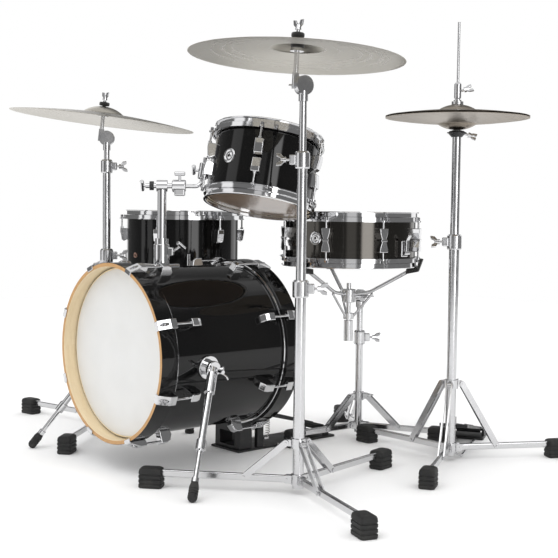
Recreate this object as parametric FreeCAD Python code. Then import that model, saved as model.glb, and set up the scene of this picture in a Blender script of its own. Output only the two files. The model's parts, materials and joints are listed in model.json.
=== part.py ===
import FreeCAD, Part
import math
import os

# Compact acoustic drum kit in playing layout. Z is up and the floor is z = 0.
# Kit coordinates put the bass drum's axis along Y, with its front head towards -Y, and
# x = y = 0 at the middle of the bass drum. The export moves everything by plan_shift(), so
# that the part's own origin is the middle of the whole kit's footprint.

V = FreeCAD.Vector
UP = V(0, 0, 1)
INCH = 25.4

# Drums: shell radius and shell depth
BASS_RADIUS, BASS_DEPTH = 8 * INCH, 355.0
TOM_RADIUS, TOM_DEPTH = 5 * INCH, 168.0
FLOOR_TOM_RADIUS, FLOOR_TOM_DEPTH = 6.5 * INCH, 12.5 * INCH
SNARE_RADIUS, SNARE_DEPTH = 7 * INCH, 5 * INCH
SHELL_WALL = 6.5

# Drum centres
BASS_CENTRE = V(0, 0, 284)
TOM_CENTRE = V(156, 133, 725)
TOM_LEAN, TOM_LEAN_AZIMUTH = 14.2, 104.6
FLOOR_TOM_CENTRE = V(-450, 337, 455)
SNARE_CENTRE = V(84, 507, 553)

# Lug azimuths in each drum's own frame
BASS_LUGS = [22.5 + 45 * k for k in range(8)]
TOM_LUGS = [-48 + 72 * k for k in range(5)]
FLOOR_TOM_LUGS = [-60 + 60 * k for k in range(6)]
SNARE_LUGS = [26.5 + 45 * k for k in range(8)]
STRAINER_AZIMUTH, STRAINER_LOW = 4.0, -22.0
BASKET_ARMS = (34, 154, 274)

# Hoops, measured out from the shell and up from its bearing edge
ROD_OFFSET = 14.5
HOOP_TOP = 10.0
EAR_BOTTOM, EAR_TOP = -16.0, -13.0
WOOD_HOOP_OUT, WOOD_HOOP_START, WOOD_HOOP_END = 12.8, -10.5, 33.5
BASS_ROD_OFFSET = 22.0

# Stands: hub on the plan, leg azimuths, foot radius, collar height, brace foot radius
STANDS = {
    "ride": dict(hub=V(438, 0, 0), legs=(100, 220, 340), reach=334, collar=115, brace=122),
    "crash": dict(hub=V(-457, 75, 0), legs=(190, 310, 70), reach=334, collar=115, brace=122),
    "hihat": dict(hub=V(434, 526, 0), legs=(60, 180, 300), reach=290, collar=196, brace=125),
    "snare_stand": dict(hub=V(80, 556, 0), legs=(27, 147, 267), reach=228, collar=115, brace=115),
}
FOLD_ANGLE = 75.0
LEG_HEIGHT, LEG_WIDE, LEG_TALL = 34.0, 10.0, 16.0
LEG_PIVOT, BRACE_PIVOT = 25.0, 28.0
FOOT_LONG, FOOT_WIDE, FOOT_TALL = 54.0, 38.0, 46.0
LOWER_TUBE, LOWER_BORE = 12.7, 11.6
MIDDLE_TUBE, MIDDLE_BORE = 11.0, 9.6
TOP_TUBE = 8.0
SLIDE_GAP = 0.08
MOVING_GAP = 0.4
CLAMP_GRIP = 9.0

# Cymbal stands: clamp heights, tilter height, cymbal height, lean, cymbal size
CYMBALS = {
    "ride": dict(clamps=(457, 738), tilter=899, seat=997, lean=2.9, lean_azimuth=79, radius=236,
                 wings=(48, 228)),
    "crash": dict(clamps=(494, 746), tilter=825, seat=912, lean=6.2, lean_azimuth=48, radius=258,
                  wings=(60, 48)),
}
TILTER_DISC, TILTER_HALF, TILTER_ROD_OFFSET = 21.0, 9.0, 18.0
SPINDLE = 3.9
CYMBAL_SHEET, CYMBAL_HOLE, SEAT_DROP = 1.6, 7.0, 14.0

# Hi-hat
HIHAT_RADIUS, HIHAT_EDGE, HIHAT_GAP = 178.0, 865.0, 1.2
HIHAT_CLAMP, HIHAT_TUBE_TOP, HIHAT_ROD_TOP = 554.0, 815.0, 1098.0
PULL_ROD = 3.2
YOKE_TOP, HIHAT_TRAVEL = 112.0, 30.0
PEDAL_AZIMUTH, HIHAT_HEEL, HIHAT_TOE = 120.0, 315.0, 48.0

# Snare stand, tom mount, spurs and bass pedal
SNARE_TUBE, SNARE_BORE, SNARE_UPPER = 11.0, 9.8, 9.0
SNARE_CLAMP, SNARE_HINGE = 279.0, 395.0
POST_PLACE, POST_RADIUS, POST_TOP = V(0, -60, 0), 11.0, 684.0
BAR_AZIMUTH, ARM_CLAMP_OUT = 50.0, 43.0
L_ROD, L_ROD_BEND = 4.75, 16.0
SPUR_Y, SPUR_DROP = -71.0, 6.0
SPUR_FOOT, SPUR_TIP = V(345, -222, 11), 11.0
PEDAL_X, PEDAL_HEEL_Y, BEATER_REST = -18.0, 480.0, 42.0
SHAFT_PLACE = V(0, 235, 185)

NODES = {}


# ---------------------------------------------------------------- shape helpers

def add(node, *shapes):
    """Put separate solids into a node."""
    for shape in shapes:
        NODES.setdefault(node, []).extend(shape.Solids)


def polar(radius, azimuth, height=0.0):
    """Point at a radius and azimuth about the vertical axis."""
    turn = math.radians(azimuth)
    return V(radius * math.cos(turn), radius * math.sin(turn), height)


def rod(start, end, radius):
    """Round bar between two points."""
    return Part.makeCylinder(radius, (end - start).Length, start, end - start)


def tube(start, end, outer, inner):
    """Round tube between two points."""
    return rod(start, end, outer).cut(rod(start, end, inner))


def box(low, high, rounding=0.0):
    """Box between two corners, with its edges rounded if asked."""
    size = high - low
    shape = Part.makeBox(size.x, size.y, size.z, low)
    return shape.makeFillet(rounding, shape.Edges) if rounding else shape


def fuse(first, *others):
    """One solid from several that meet."""
    return first.fuse(list(others)).removeSplitter()


def with_bolt(body, bolt):
    """A body cut clear of its bolt, and the bolt."""
    return [body.cut(bolt), bolt]


def revolve(outline):
    """Solid of revolution about Z from (radius, height) points."""
    points = [V(r, 0, z) for r, z in outline]
    face = Part.Face(Part.makePolygon(points + points[:1]))
    return face.revolve(V(), UP, 360)


def slab(outline, thickness, rounding=0.0):
    """Plate in the XZ plane from (x, z) points, centred on y = 0."""
    points = [V(x, -thickness / 2, z) for x, z in outline]
    shape = Part.Face(Part.makePolygon(points + points[:1])).extrude(V(0, thickness, 0))
    return shape.makeFillet(rounding, shape.Edges) if rounding else shape


def turned(shape, azimuth, move=V()):
    """Copy turned about the vertical axis, then moved."""
    place = FreeCAD.Placement(move, FreeCAD.Rotation(UP, azimuth))
    return shape.transformed(place.toMatrix(), True)


def aimed(shape, origin, direction):
    """Copy whose own Z axis points along direction, from origin."""
    place = FreeCAD.Placement(origin, FreeCAD.Rotation(UP, direction))
    return shape.transformed(place.toMatrix(), True)


def bent_rod(points, radius, bend):
    """Round bar along straight runs joined by arcs of one bend radius."""
    edges = []
    start = points[0]
    for before, corner, after in zip(points, points[1:], points[2:]):
        back = (before - corner).normalize()
        on = (after - corner).normalize()
        half = back.getAngle(on) / 2
        reach = bend / math.tan(half)
        middle = (back + on).normalize()
        enter = corner + back * reach
        leave = corner + on * reach
        crown = corner + middle * (bend / math.sin(half) - bend)
        edges.append(Part.LineSegment(start, enter).toShape())
        edges.append(Part.Arc(enter, crown, leave).toShape())
        start = leave
    edges.append(Part.LineSegment(start, points[-1]).toShape())
    ring = Part.Wire(Part.makeCircle(radius, points[0], points[1] - points[0]))
    return Part.Wire(edges).makePipeShell([ring], True, False)


def wing_bolt(start, direction, length, spread=17.0, roll=0.0):
    """Threaded bolt with a two-winged grip, pointing out from start."""
    shank = Part.makeCylinder(3.0, length)
    hub = Part.makeCone(7.0, 5.0, 12, V(0, 0, length - 2))
    wings = []
    for side in (-1, 1):
        outline = [(side * 3, length), (side * spread, length + 9), (side * (spread + 2), length + 20),
                   (side * (spread - 7), length + 19), (side * 3, length + 9)]
        wings.append(slab(outline, 4.0, 1.2))
    bolt = fuse(shank, hub, *wings)
    bolt.rotate(V(), UP, roll)
    return aimed(bolt, start, direction)


def tee_bolt(start, direction, length, bar=34.0, roll=0.0):
    """Threaded bolt with a round crossbar grip, pointing out from start."""
    shank = Part.makeCylinder(3.5, length)
    grip = rod(V(-bar / 2, 0, length), V(bar / 2, 0, length), 5.0)
    grip = grip.makeFillet(2.0, grip.Edges)
    bolt = fuse(shank, grip)
    bolt.rotate(V(), UP, roll)
    return aimed(bolt, start, direction)


def height_clamp(place, outer_fit, inner_fit, wing_azimuth):
    """Collar on a tube's open end: it grips the tube and guides the one that slides inside."""
    skin = outer_fit + 5.5
    tall = 2 * (CLAMP_GRIP + 10)
    body = revolve([(outer_fit, -tall / 2), (skin - 1, -tall / 2), (skin, -tall / 2 + 3),
                    (skin, tall / 2 - 4), (skin - 3, tall / 2), (inner_fit, tall / 2),
                    (inner_fit, CLAMP_GRIP), (outer_fit, CLAMP_GRIP)])
    lug = turned(box(V(skin - 2, -8, -11), V(skin + 12, 8, 11), 2.5), wing_azimuth)
    body = fuse(body, lug.cut(rod(V(0, 0, -tall), V(0, 0, tall), skin - 1)))
    body = body.copy()
    body.translate(place)
    bolt = wing_bolt(place + polar(skin + 12, wing_azimuth), polar(1, wing_azimuth), 9, roll=90)
    return with_bolt(body, bolt)


# ---------------------------------------------------------------- drums

def drum_place(centre, lean=0.0, azimuth=0.0):
    """Placement of a drum that leans towards an azimuth."""
    hinge = polar(1, azimuth + 90)
    return FreeCAD.Placement(centre, FreeCAD.Rotation(hinge, lean))


def bass_place():
    """Placement that points the bass drum's own Z axis to the front."""
    return FreeCAD.Placement(BASS_CENTRE, FreeCAD.Rotation(V(1, 0, 0), 90))


def put(node, shapes, place):
    """Add drum pieces, moved from the drum's own frame into the kit."""
    for shape in shapes:
        add(node, shape.transformed(place.toMatrix(), True))


def both_ends(shapes):
    """The shapes at the upper end and their mirror images at the lower end."""
    return shapes + [shape.mirror(V(), UP) for shape in shapes]


def shell(radius, depth):
    """Open drum shell."""
    return tube(V(0, 0, -depth / 2), V(0, 0, depth / 2), radius, radius - SHELL_WALL)


def head(radius, edge):
    """Drum head: a skin with its turned-down collar, and the metal flesh hoop it is set in."""
    skin = revolve([(0, edge + 0.2), (radius + 0.3, edge + 0.2), (radius + 0.3, edge - 13),
                    (radius + 1.5, edge - 13), (radius + 1.5, edge + 0.9), (0, edge + 0.9)])
    flesh = revolve([(radius + 1.6, edge - 13.2), (radius + 6.4, edge - 13.2),
                     (radius + 6.4, edge - 5.3), (radius + 1.6, edge - 5.3)])
    return [skin, flesh]


def bass_head(radius, edge):
    """Bass drum head, whose wider flesh hoop shows below the wooden hoop."""
    skin = revolve([(0, edge + 0.2), (radius + 0.3, edge + 0.2), (radius + 0.3, edge - 16),
                    (radius + 1.7, edge - 16), (radius + 1.7, edge + 0.9), (0, edge + 0.9)])
    flesh = revolve([(radius + 1.9, edge - 17.5), (radius + 6.0, edge - 17.5), (radius + 7.0, edge - 16),
                     (radius + 7.0, edge - 12), (radius + 6.0, edge - 10.8),
                     (radius + 1.9, edge - 10.8)])
    return [skin, flesh]


def flanged_hoop(radius, edge, lugs):
    """Pressed steel hoop: rolled top edge, wall, step over the head, skirt and ears."""
    outline = [(2, -5), (8, -5), (8, EAR_BOTTOM), (12.7, EAR_BOTTOM), (12.7, EAR_BOTTOM + 2),
               (10, EAR_BOTTOM + 2), (10, -3.8), (9, -3), (4, -3), (4, HOOP_TOP - 2.4),
               (8.2, HOOP_TOP - 2.4), (8.7, HOOP_TOP - 1.2), (8.2, HOOP_TOP), (2.6, HOOP_TOP),
               (2, HOOP_TOP - 0.6)]
    hoop = revolve([(radius + r, edge + z) for r, z in outline])
    for azimuth in lugs:
        place = polar(radius + ROD_OFFSET, azimuth)
        ear = rod(place + UP * (edge + EAR_BOTTOM), place + UP * (edge + EAR_TOP), 6.5)
        hole = rod(place + UP * (edge - 20), place + UP * (edge - 8), 3.0)
        hoop = hoop.fuse(ear).cut(hole)
    return hoop


def tension_rod(place, low, ear_top):
    """Key-headed tension rod from a lug up through the hoop's ear."""
    shank = rod(place + UP * low, place + UP * ear_top, 2.5)
    washer = rod(place + UP * ear_top, place + UP * (ear_top + 1.5), 4.2)
    key = box(V(-2.9, -2.9, 0), V(2.9, 2.9, 7.5), 0.6)
    key.translate(place + UP * (ear_top + 1.5))
    return fuse(shank, washer, key)


def tom_lug(radius, azimuth, low, high):
    """Cast lug with its swivel nut, seated on the shell."""
    outline = [(radius - 3, low + 7), (radius + 10, low), (radius + 17, low + 5),
               (radius + 20.5, high - 12), (radius + 20.5, high), (radius - 3, high)]
    body = slab(outline, 21.0, 2.2)
    body = body.cut(rod(V(0, 0, low - 5), V(0, 0, high + 5), radius))
    place = V(radius + ROD_OFFSET, 0, 0)
    nut = rod(place + UP * high, place + UP * (high + 5), 4.4)
    return [turned(body, azimuth), turned(nut, azimuth)]


def snare_lug(radius, azimuth, half):
    """Bow-tie lug that spans the snare shell, seated on it."""
    outline = [(-12, -half), (12, -half), (11, -half + 12), (6.5, -4), (6.5, 4), (11, half - 12),
               (12, half), (-12, half), (-11, half - 12), (-6.5, 4), (-6.5, -4), (-11, -half + 12)]
    body = slab(outline, 22.0)
    body = body.makeFillet(1.6, body.Edges)
    body.rotate(V(), UP, 90)
    body.translate(V(radius + 9.0, 0, 0))
    body = body.cut(rod(V(0, 0, -half - 5), V(0, 0, half + 5), radius))
    band = slab([(-9, -3), (9, -3), (9, 3), (-9, 3)], 22.6, 1.0)
    band.rotate(V(), UP, 90)
    band.translate(V(radius + 10.2, 0, 0))
    return [turned(fuse(body, band.cut(rod(V(0, 0, -9), V(0, 0, 9), radius + 3))), azimuth)]


def flanged_drum(name, radius, depth, lugs, place, lug_reach=None):
    """A drum with pressed hoops; lug_reach is the half height of lugs that span the shell."""
    edge = depth / 2
    put(name + "_hoops", both_ends([flanged_hoop(radius, edge, lugs)]), place)
    put(name + "_heads", both_ends(head(radius, edge)), place)
    pieces = []
    for azimuth in lugs:
        spot = polar(radius + ROD_OFFSET, azimuth)
        if lug_reach:
            pieces += snare_lug(radius, azimuth, lug_reach)
            pieces += both_ends([tension_rod(spot, lug_reach, edge + EAR_TOP)])
        else:
            high = edge - 44
            pieces += both_ends(tom_lug(radius, azimuth, high - 38, high))
            pieces += both_ends([tension_rod(spot, high + 5, edge + EAR_TOP)])
    put(name + "_lugs", pieces, place)
    return shell(radius, depth)


def bass_claw(radius, edge, azimuth):
    """Claw hooked over the wooden hoop, its tension rod and the lug that it pulls on."""
    hoop = radius + WOOD_HOOP_OUT
    top = edge + WOOD_HOOP_END
    line = radius + BASS_ROD_OFFSET
    outline = [(hoop + 0.2, top - 40), (hoop + 0.2, top + 0.4), (hoop - 8, top + 0.4),
               (hoop - 8, top + 3.4), (hoop + 3, top + 3.4), (hoop + 8, top - 8),
               (line + 6, top - 26), (line + 6, top - 43), (line - 3, top - 43)]
    claw = slab(outline, 23.0)
    claw = claw.makeFillet(1.3, claw.Edges)
    pocket = rod(V(line, 0, top - 24), V(line, 0, top + 5), 4.6)
    claw = claw.cut(pocket)
    key = box(V(line - 2.9, -2.9, top - 23.8), V(line + 2.9, 2.9, top - 12), 0.6)
    low = edge - 86
    lug_top = low + 34
    screw = rod(V(line, 0, lug_top), V(line, 0, top - 43), 2.8)
    lug = slab([(radius - 3, low + 4), (radius + 9, low), (line + 2, low + 7), (line + 6, low + 16),
                (line + 6, lug_top), (radius - 3, lug_top)], 19.0, 2.4)
    lug = lug.cut(rod(V(0, 0, low - 5), V(0, 0, lug_top + 5), radius))
    return [turned(piece, azimuth) for piece in (claw, key, screw, lug)]


def bass_drum():
    """Bass drum with wooden hoops, claws, spur brackets and the tom receiver."""
    place = bass_place()
    edge = BASS_DEPTH / 2
    post_hole = rod(POST_PLACE + UP * 440, POST_PLACE + UP * 520, POST_RADIUS + 1.5)
    body = shell(BASS_RADIUS, BASS_DEPTH).transformed(place.toMatrix(), True)
    add("bass_shell", body.cut(post_hole))
    hoop = revolve([(BASS_RADIUS + 3.0, edge + WOOD_HOOP_START),
                    (BASS_RADIUS + WOOD_HOOP_OUT, edge + WOOD_HOOP_START),
                    (BASS_RADIUS + WOOD_HOOP_OUT, edge + WOOD_HOOP_END - 1),
                    (BASS_RADIUS + WOOD_HOOP_OUT - 1, edge + WOOD_HOOP_END),
                    (BASS_RADIUS + 4.0, edge + WOOD_HOOP_END),
                    (BASS_RADIUS + 3.0, edge + WOOD_HOOP_END - 1)])
    put("bass_front_hoop", [hoop], place)
    put("bass_rear_hoop", [hoop.mirror(V(), UP)], place)
    put("bass_heads", both_ends(bass_head(BASS_RADIUS, edge)), place)
    for azimuth in BASS_LUGS:
        put("bass_tension_hardware", both_ends(bass_claw(BASS_RADIUS, edge, azimuth)), place)


# ---------------------------------------------------------------- spurs and tom mount

def spur_frame(side):
    """Centre of a spur bracket on the shell and its outward direction."""
    drop = math.radians(SPUR_DROP)
    outward = V(side * math.cos(drop), 0, -math.sin(drop))
    centre = BASS_CENTRE + outward * BASS_RADIUS + V(0, SPUR_Y, 0)
    return centre, outward


def spur(side, name):
    """Shell bracket and the telescopic leg that turns on it."""
    centre, outward = spur_frame(side)
    drum = rod(V(0, -200, 284), V(0, 200, 284), BASS_RADIUS)
    flange = rod(centre - outward * 4, centre + outward * 5, 28)
    flange = flange.makeFillet(1.5, [flange.Edges[0], flange.Edges[2]])
    boss = rod(centre + outward * 4, centre + outward * 14, 18)
    add("bass_brackets", fuse(flange.cut(drum), boss))

    foot = V(side * SPUR_FOOT.x, SPUR_FOOT.y, SPUR_FOOT.z)
    top = centre + outward * 31 + V(0, -13, -16)
    along = (foot - top).normalize()
    length = (foot - top).Length
    disc = rod(centre + outward * (14 + MOVING_GAP), centre + outward * 24, 19)
    disc = disc.makeFillet(2.0, disc.Edges)
    arm = rod(centre + outward * 20, top, 11)
    socket = rod(top - along * 10, top + along * 40, 12.5)
    upper = rod(top + along * 40, top + along * (length * 0.54), 8.0)
    collar = rod(top + along * (length * 0.54), top + along * (length * 0.54 + 24), 11.0)
    lower = rod(top + along * (length * 0.54 + 24), top + along * (length - 44), 5.5)
    cup = rod(top + along * (length - 44), top + along * (length - 34), 8.5)
    leg = fuse(disc, arm, socket, upper, collar, lower, cup)
    leg = leg.cut(rod(centre - outward * 20, centre + outward * (14 + MOVING_GAP), 60))
    add(name, *with_bolt(leg, wing_bolt(centre + outward * 24, outward, 22, roll=30 * side)))
    tip = fuse(Part.makeCone(8.5, SPUR_TIP, 12, top + along * (length - 34), along),
               rod(top + along * (length - 22), foot, SPUR_TIP), Part.makeSphere(SPUR_TIP, foot))
    add(name, tip)


def tom_axis():
    """Direction of the rack tom's axis."""
    lean = math.radians(TOM_LEAN)
    return polar(math.sin(lean), TOM_LEAN_AZIMUTH, math.cos(lean))


def tom_pivot():
    """Middle of the tom bracket's clamp, on the L-rod's upright run."""
    return TOM_CENTRE + polar(TOM_RADIUS + 21, 228) + tom_axis() * -4


def arm_corner():
    """Corner of the L-rod, at the height of the mount's cross bar."""
    pivot, axis = tom_pivot(), tom_axis()
    return pivot + axis * ((POST_TOP - pivot.z) / axis.z)


def bar_direction():
    """Direction of the cross bar, from the post to the L-rod's corner."""
    corner = arm_corner() - POST_PLACE
    return V(corner.x, corner.y, 0).normalize()


def tom_mount():
    """Receiver on the bass drum, the post in it, and the arm that holds the tom."""
    drum = rod(V(0, -200, 284), V(0, 200, 284), BASS_RADIUS)
    bore = rod(POST_PLACE + UP * 440, POST_PLACE + UP * 560, POST_RADIUS + SLIDE_GAP)
    saddle = box(V(-27, -98, 476), V(27, -22, 494), 5)
    barrel = rod(POST_PLACE + UP * 486, POST_PLACE + UP * 542, 19)
    barrel = barrel.makeFillet(2.0, barrel.Edges)
    ear = turned(box(V(14, -8, 514), V(30, 8, 534), 2.5), 40, POST_PLACE)
    receiver = fuse(saddle.cut(drum), barrel, ear).cut(bore).cut(drum)
    bolt = tee_bolt(POST_PLACE + polar(30, 40, 524), polar(0.8, 40, 0.6), 24, 30, 90)
    add("bass_brackets", *with_bolt(receiver, bolt))

    bar = bar_direction()
    head_centre = POST_PLACE + UP * POST_TOP
    post = rod(POST_PLACE + UP * 440, head_centre, POST_RADIUS)
    lock = rod(POST_PLACE + UP * (542 + MOVING_GAP), POST_PLACE + UP * 556, 16.5)
    crown = rod(head_centre - bar * 13, head_centre + bar * 13, 14)
    cross = rod(head_centre - bar * 40, head_centre + bar * (ARM_CLAMP_OUT - 19), 6.0)
    add("tom_post", fuse(post, lock, crown, cross))
    add("tom_post", tube(head_centre - bar * 30, head_centre - bar * 20, 11, 6))
    add("tom_post", tee_bolt(head_centre - bar * 40, bar * -1, 8, 34, 0))

    corner, axis, pivot = arm_corner(), tom_axis(), tom_pivot()
    clamp_centre = head_centre + bar * ARM_CLAMP_OUT
    drum_clamp = rod(clamp_centre - bar * (19 - MOVING_GAP), clamp_centre + bar * 15, 15)
    drum_clamp = drum_clamp.makeFillet(3.0, drum_clamp.Edges)
    block = box(V(-13, -12, -24), V(13, 12, 4), 3)
    block = turned(block, BAR_AZIMUTH, clamp_centre)
    l_rod = bent_rod([clamp_centre + bar * 10, corner, pivot + axis * 34], L_ROD, L_ROD_BEND)
    bolt = tee_bolt(clamp_centre + UP * 14, UP, 16, 26, BAR_AZIMUTH)
    add("tom_arm", *with_bolt(fuse(drum_clamp, block, l_rod), bolt))


def tom_bracket():
    """Clamp on the rack tom's shell that rides on the L-rod."""
    pivot, axis = tom_pivot(), tom_axis()
    inward = (TOM_CENTRE - pivot)
    inward = (inward - axis * inward.dot(axis)).normalize()
    side = axis.cross(inward)
    place = FreeCAD.Placement(pivot, FreeCAD.Rotation(inward, side, axis, "ZXY"))
    plate = box(V(16, -17, -34), V(26, 17, 34), 2.5)
    bridge = box(V(2, -9, -16), V(20, 9, 16), 2)
    barrel = rod(V(0, 0, -19), V(0, 0, 19), 11.5)
    barrel = barrel.makeFillet(1.5, barrel.Edges)
    body = fuse(plate, bridge, barrel).cut(rod(V(0, 0, -40), V(0, 0, 40), L_ROD + SLIDE_GAP))
    body = body.transformed(place.toMatrix(), True)
    shell_line = tom_shell_solid()
    add("tom_lugs", body.cut(shell_line))
    out = inward * -1
    add("tom_lugs", tee_bolt(pivot + out * 11.5, out, 12, 28, 0))


def tom_shell_solid():
    """Solid cylinder of the rack tom's shell, for seating its bracket."""
    axis = tom_axis()
    half = axis * (TOM_DEPTH / 2)
    return rod(TOM_CENTRE - half, TOM_CENTRE + half, TOM_RADIUS)


# ---------------------------------------------------------------- stands

def leg_piece(reach):
    """One flat leg along X with its rubber foot."""
    bar = box(V(LEG_PIVOT, -LEG_WIDE / 2, LEG_HEIGHT - LEG_TALL / 2),
              V(reach - FOOT_LONG / 2, LEG_WIDE / 2, LEG_HEIGHT + LEG_TALL / 2))
    long_edges = [e for e in bar.Edges if abs(e.tangentAt(e.FirstParameter).x) > 0.9]
    bar = bar.makeFillet(3.0, long_edges)
    eye = rod(V(LEG_PIVOT, -LEG_WIDE / 2, LEG_HEIGHT), V(LEG_PIVOT, LEG_WIDE / 2, LEG_HEIGHT),
              LEG_TALL / 2)
    pin = rod(V(LEG_PIVOT, -20, LEG_HEIGHT), V(LEG_PIVOT, 20, LEG_HEIGHT), 2.5 + SLIDE_GAP)
    foot = box(V(reach - FOOT_LONG / 2, -FOOT_WIDE / 2, 0),
               V(reach + FOOT_LONG / 2, FOOT_WIDE / 2, FOOT_TALL), 6)
    return [fuse(bar, eye).cut(pin), foot]


def brace_piece(spec):
    """Pair of flat braces that straddle a leg, from the collar down to the leg."""
    top = V(BRACE_PIVOT, 0, spec["collar"])
    end = V(spec["brace"], 0, LEG_HEIGHT)
    along = end - top
    middle = (top + end) * 0.5
    tilt = math.degrees(math.atan2(-along.z, along.x))
    pieces = []
    for side in (-1, 1):
        near = LEG_WIDE / 2 + MOVING_GAP
        low, high = (near, near + 3) if side > 0 else (-near - 3, -near)
        strap = box(V(-along.Length / 2, low, -7), V(along.Length / 2, high, 7))
        strap.rotate(V(), V(0, 1, 0), tilt)
        strap.translate(middle)
        ends = [rod(V(p.x, low, p.z), V(p.x, high, p.z), 7) for p in (top, end)]
        face = high if side > 0 else low
        rivet = rod(V(end.x, face, end.z), V(end.x, face + side * 2, end.z), 4)
        hole = rod(V(top.x, low - 1, top.z), V(top.x, high + 1, top.z), 2.5 + SLIDE_GAP)
        pieces.append(fuse(strap, *ends, rivet).cut(hole))
    return pieces


def collar_piece(spec, tube_radius, wing_azimuth):
    """Sliding collar with a tongue and pin for each brace."""
    fit = tube_radius + SLIDE_GAP
    height = spec["collar"]
    body = tube(UP * (height - 11), UP * (height + 11), tube_radius + 4.5, fit)
    for azimuth in spec["legs"]:
        tongue = fuse(box(V(fit + 1, -5, height - 7), V(BRACE_PIVOT, 5, height + 7)),
                      rod(V(BRACE_PIVOT, -5, height), V(BRACE_PIVOT, 5, height), 7))
        pin = rod(V(BRACE_PIVOT, -10, height), V(BRACE_PIVOT, 10, height), 2.5)
        body = fuse(body, turned(fuse(tongue, pin), azimuth))
    bolt = wing_bolt(polar(tube_radius + 4.5, wing_azimuth, height), polar(1, wing_azimuth), 10, 12)
    return [body, bolt]


def hub_piece(spec, tube_radius):
    """Fixed hub at the tube's foot with a pinned fork for each leg."""
    body = tube(UP * (LEG_HEIGHT - 12), UP * (LEG_HEIGHT + 12), tube_radius + 3, tube_radius)
    low = LEG_WIDE / 2 + MOVING_GAP
    for azimuth in spec["legs"]:
        for side in (-1, 1):
            first, last = (low, low + 3) if side > 0 else (-low - 3, -low)
            fork = fuse(box(V(tube_radius + 1, first, LEG_HEIGHT - 9),
                            V(LEG_PIVOT, last, LEG_HEIGHT + 9)),
                        rod(V(LEG_PIVOT, first, LEG_HEIGHT), V(LEG_PIVOT, last, LEG_HEIGHT), 9))
            body = fuse(body, turned(fork, azimuth).cut(rod(V(), UP * 60, tube_radius)))
        pin = rod(V(LEG_PIVOT, -10, LEG_HEIGHT), V(LEG_PIVOT, 10, LEG_HEIGHT), 2.5)
        body = fuse(body, turned(pin, azimuth))
    return [body]


def tripod(name, tube_radius, folding):
    """Flat tripod of a stand; a folding one has its moving pieces in nodes of their own."""
    spec = STANDS[name]
    hub = spec["hub"]
    base = name + "_base"
    wing = (spec["legs"][0] + spec["legs"][2]) / 2 % 360
    if name in ("ride", "hihat", "snare_stand"):
        wing = spec["legs"][0] + 60
    for piece in hub_piece(spec, tube_radius):
        add(base, turned(piece, 0, hub))
    for piece in collar_piece(spec, tube_radius, wing):
        add(name + "_collar" if folding else base, turned(piece, 0, hub))
    for index, azimuth in enumerate(spec["legs"], 1):
        for piece in leg_piece(spec["reach"]):
            add("%s_leg_%d" % (name, index) if folding else base, turned(piece, azimuth, hub))
        for piece in brace_piece(spec):
            add("%s_brace_%d" % (name, index) if folding else base, turned(piece, azimuth, hub))


def fold_motion(name):
    """Collar travel in mm and brace turn in degrees when the legs fold by FOLD_ANGLE."""
    spec = STANDS[name]
    arm = spec["brace"] - LEG_PIVOT
    turn = math.radians(FOLD_ANGLE)
    length = math.hypot(spec["brace"] - BRACE_PIVOT, spec["collar"] - LEG_HEIGHT)
    out = LEG_PIVOT + arm * math.cos(turn) - BRACE_PIVOT
    low = LEG_HEIGHT + arm * math.sin(turn)
    high = low + math.sqrt(length ** 2 - out ** 2)
    start = math.atan2(LEG_HEIGHT - spec["collar"], spec["brace"] - BRACE_PIVOT)
    return high - spec["collar"], math.degrees(math.atan2(low - high, out) - start)


def cymbal(radius, bell, bell_rise, bow_rise):
    """Cymbal whose underside has its hole's edge at z = 0; bow and bell are arcs."""
    def surface(lift):
        rim = V(radius, 0, lift - bell_rise - bow_rise)
        root = V(bell, 0, lift - bell_rise)
        brow = V((radius + bell) / 2, 0, lift - bell_rise - bow_rise * 0.40)
        cheek = V(bell * 0.66, 0, lift - bell_rise * 0.36)
        lip = V(CYMBAL_HOLE, 0, lift)
        return [Part.Arc(rim, brow, root).toShape(), Part.Arc(root, cheek, lip).toShape()], rim, lip

    under, rim_under, lip_under = surface(0.0)
    over, rim_over, lip_over = surface(CYMBAL_SHEET)
    sides = [Part.LineSegment(rim_under, rim_over).toShape(),
             Part.LineSegment(lip_under, lip_over).toShape()]
    wire = Part.Wire(Part.__sortEdges__(under + over + sides))
    return Part.Face(wire).revolve(V(), UP, 360)


def seat_parts(rod_radius):
    """Domed felt under a cymbal, the sleeve through its hole, and the loose felt above."""
    ball = math.hypot(CYMBAL_HOLE, SEAT_DROP) - MOVING_GAP
    dome = Part.makeSphere(ball, V(0, 0, -SEAT_DROP), UP, -20, 60, 360)
    sleeve = tube(V(0, 0, -24), V(0, 0, 16), 5.2, rod_radius)
    dome = dome.cut(rod(V(0, 0, -40), V(0, 0, 10), 5.2))
    cup = revolve([(5.2, -26), (15, -26), (14.2, -19.6), (5.2, -19.6)])
    felt = revolve([(5.2, CYMBAL_SHEET + 2.2), (13, CYMBAL_SHEET + 2.2), (14.5, 5.5), (14.5, 12),
                    (13, 14), (5.2, 14)])
    return [dome, sleeve, cup, felt]


def cymbal_frame(name):
    """Tilter pivot and axle, the rod's start, the cymbal's seat and its upward direction."""
    size = CYMBALS[name]
    pivot = STANDS[name]["hub"] + UP * size["tilter"]
    lean = polar(1, size["lean_azimuth"])
    axle = polar(1, size["lean_azimuth"] - 90)
    tilt = math.radians(size["lean"])
    upward = lean * math.sin(tilt) + UP * math.cos(tilt)
    start = pivot - axle * (MOVING_GAP + TILTER_HALF / 2) - lean * TILTER_ROD_OFFSET
    seat = start + upward * ((size["seat"] - start.z) / upward.z)
    return pivot, axle, start, seat, upward


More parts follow.
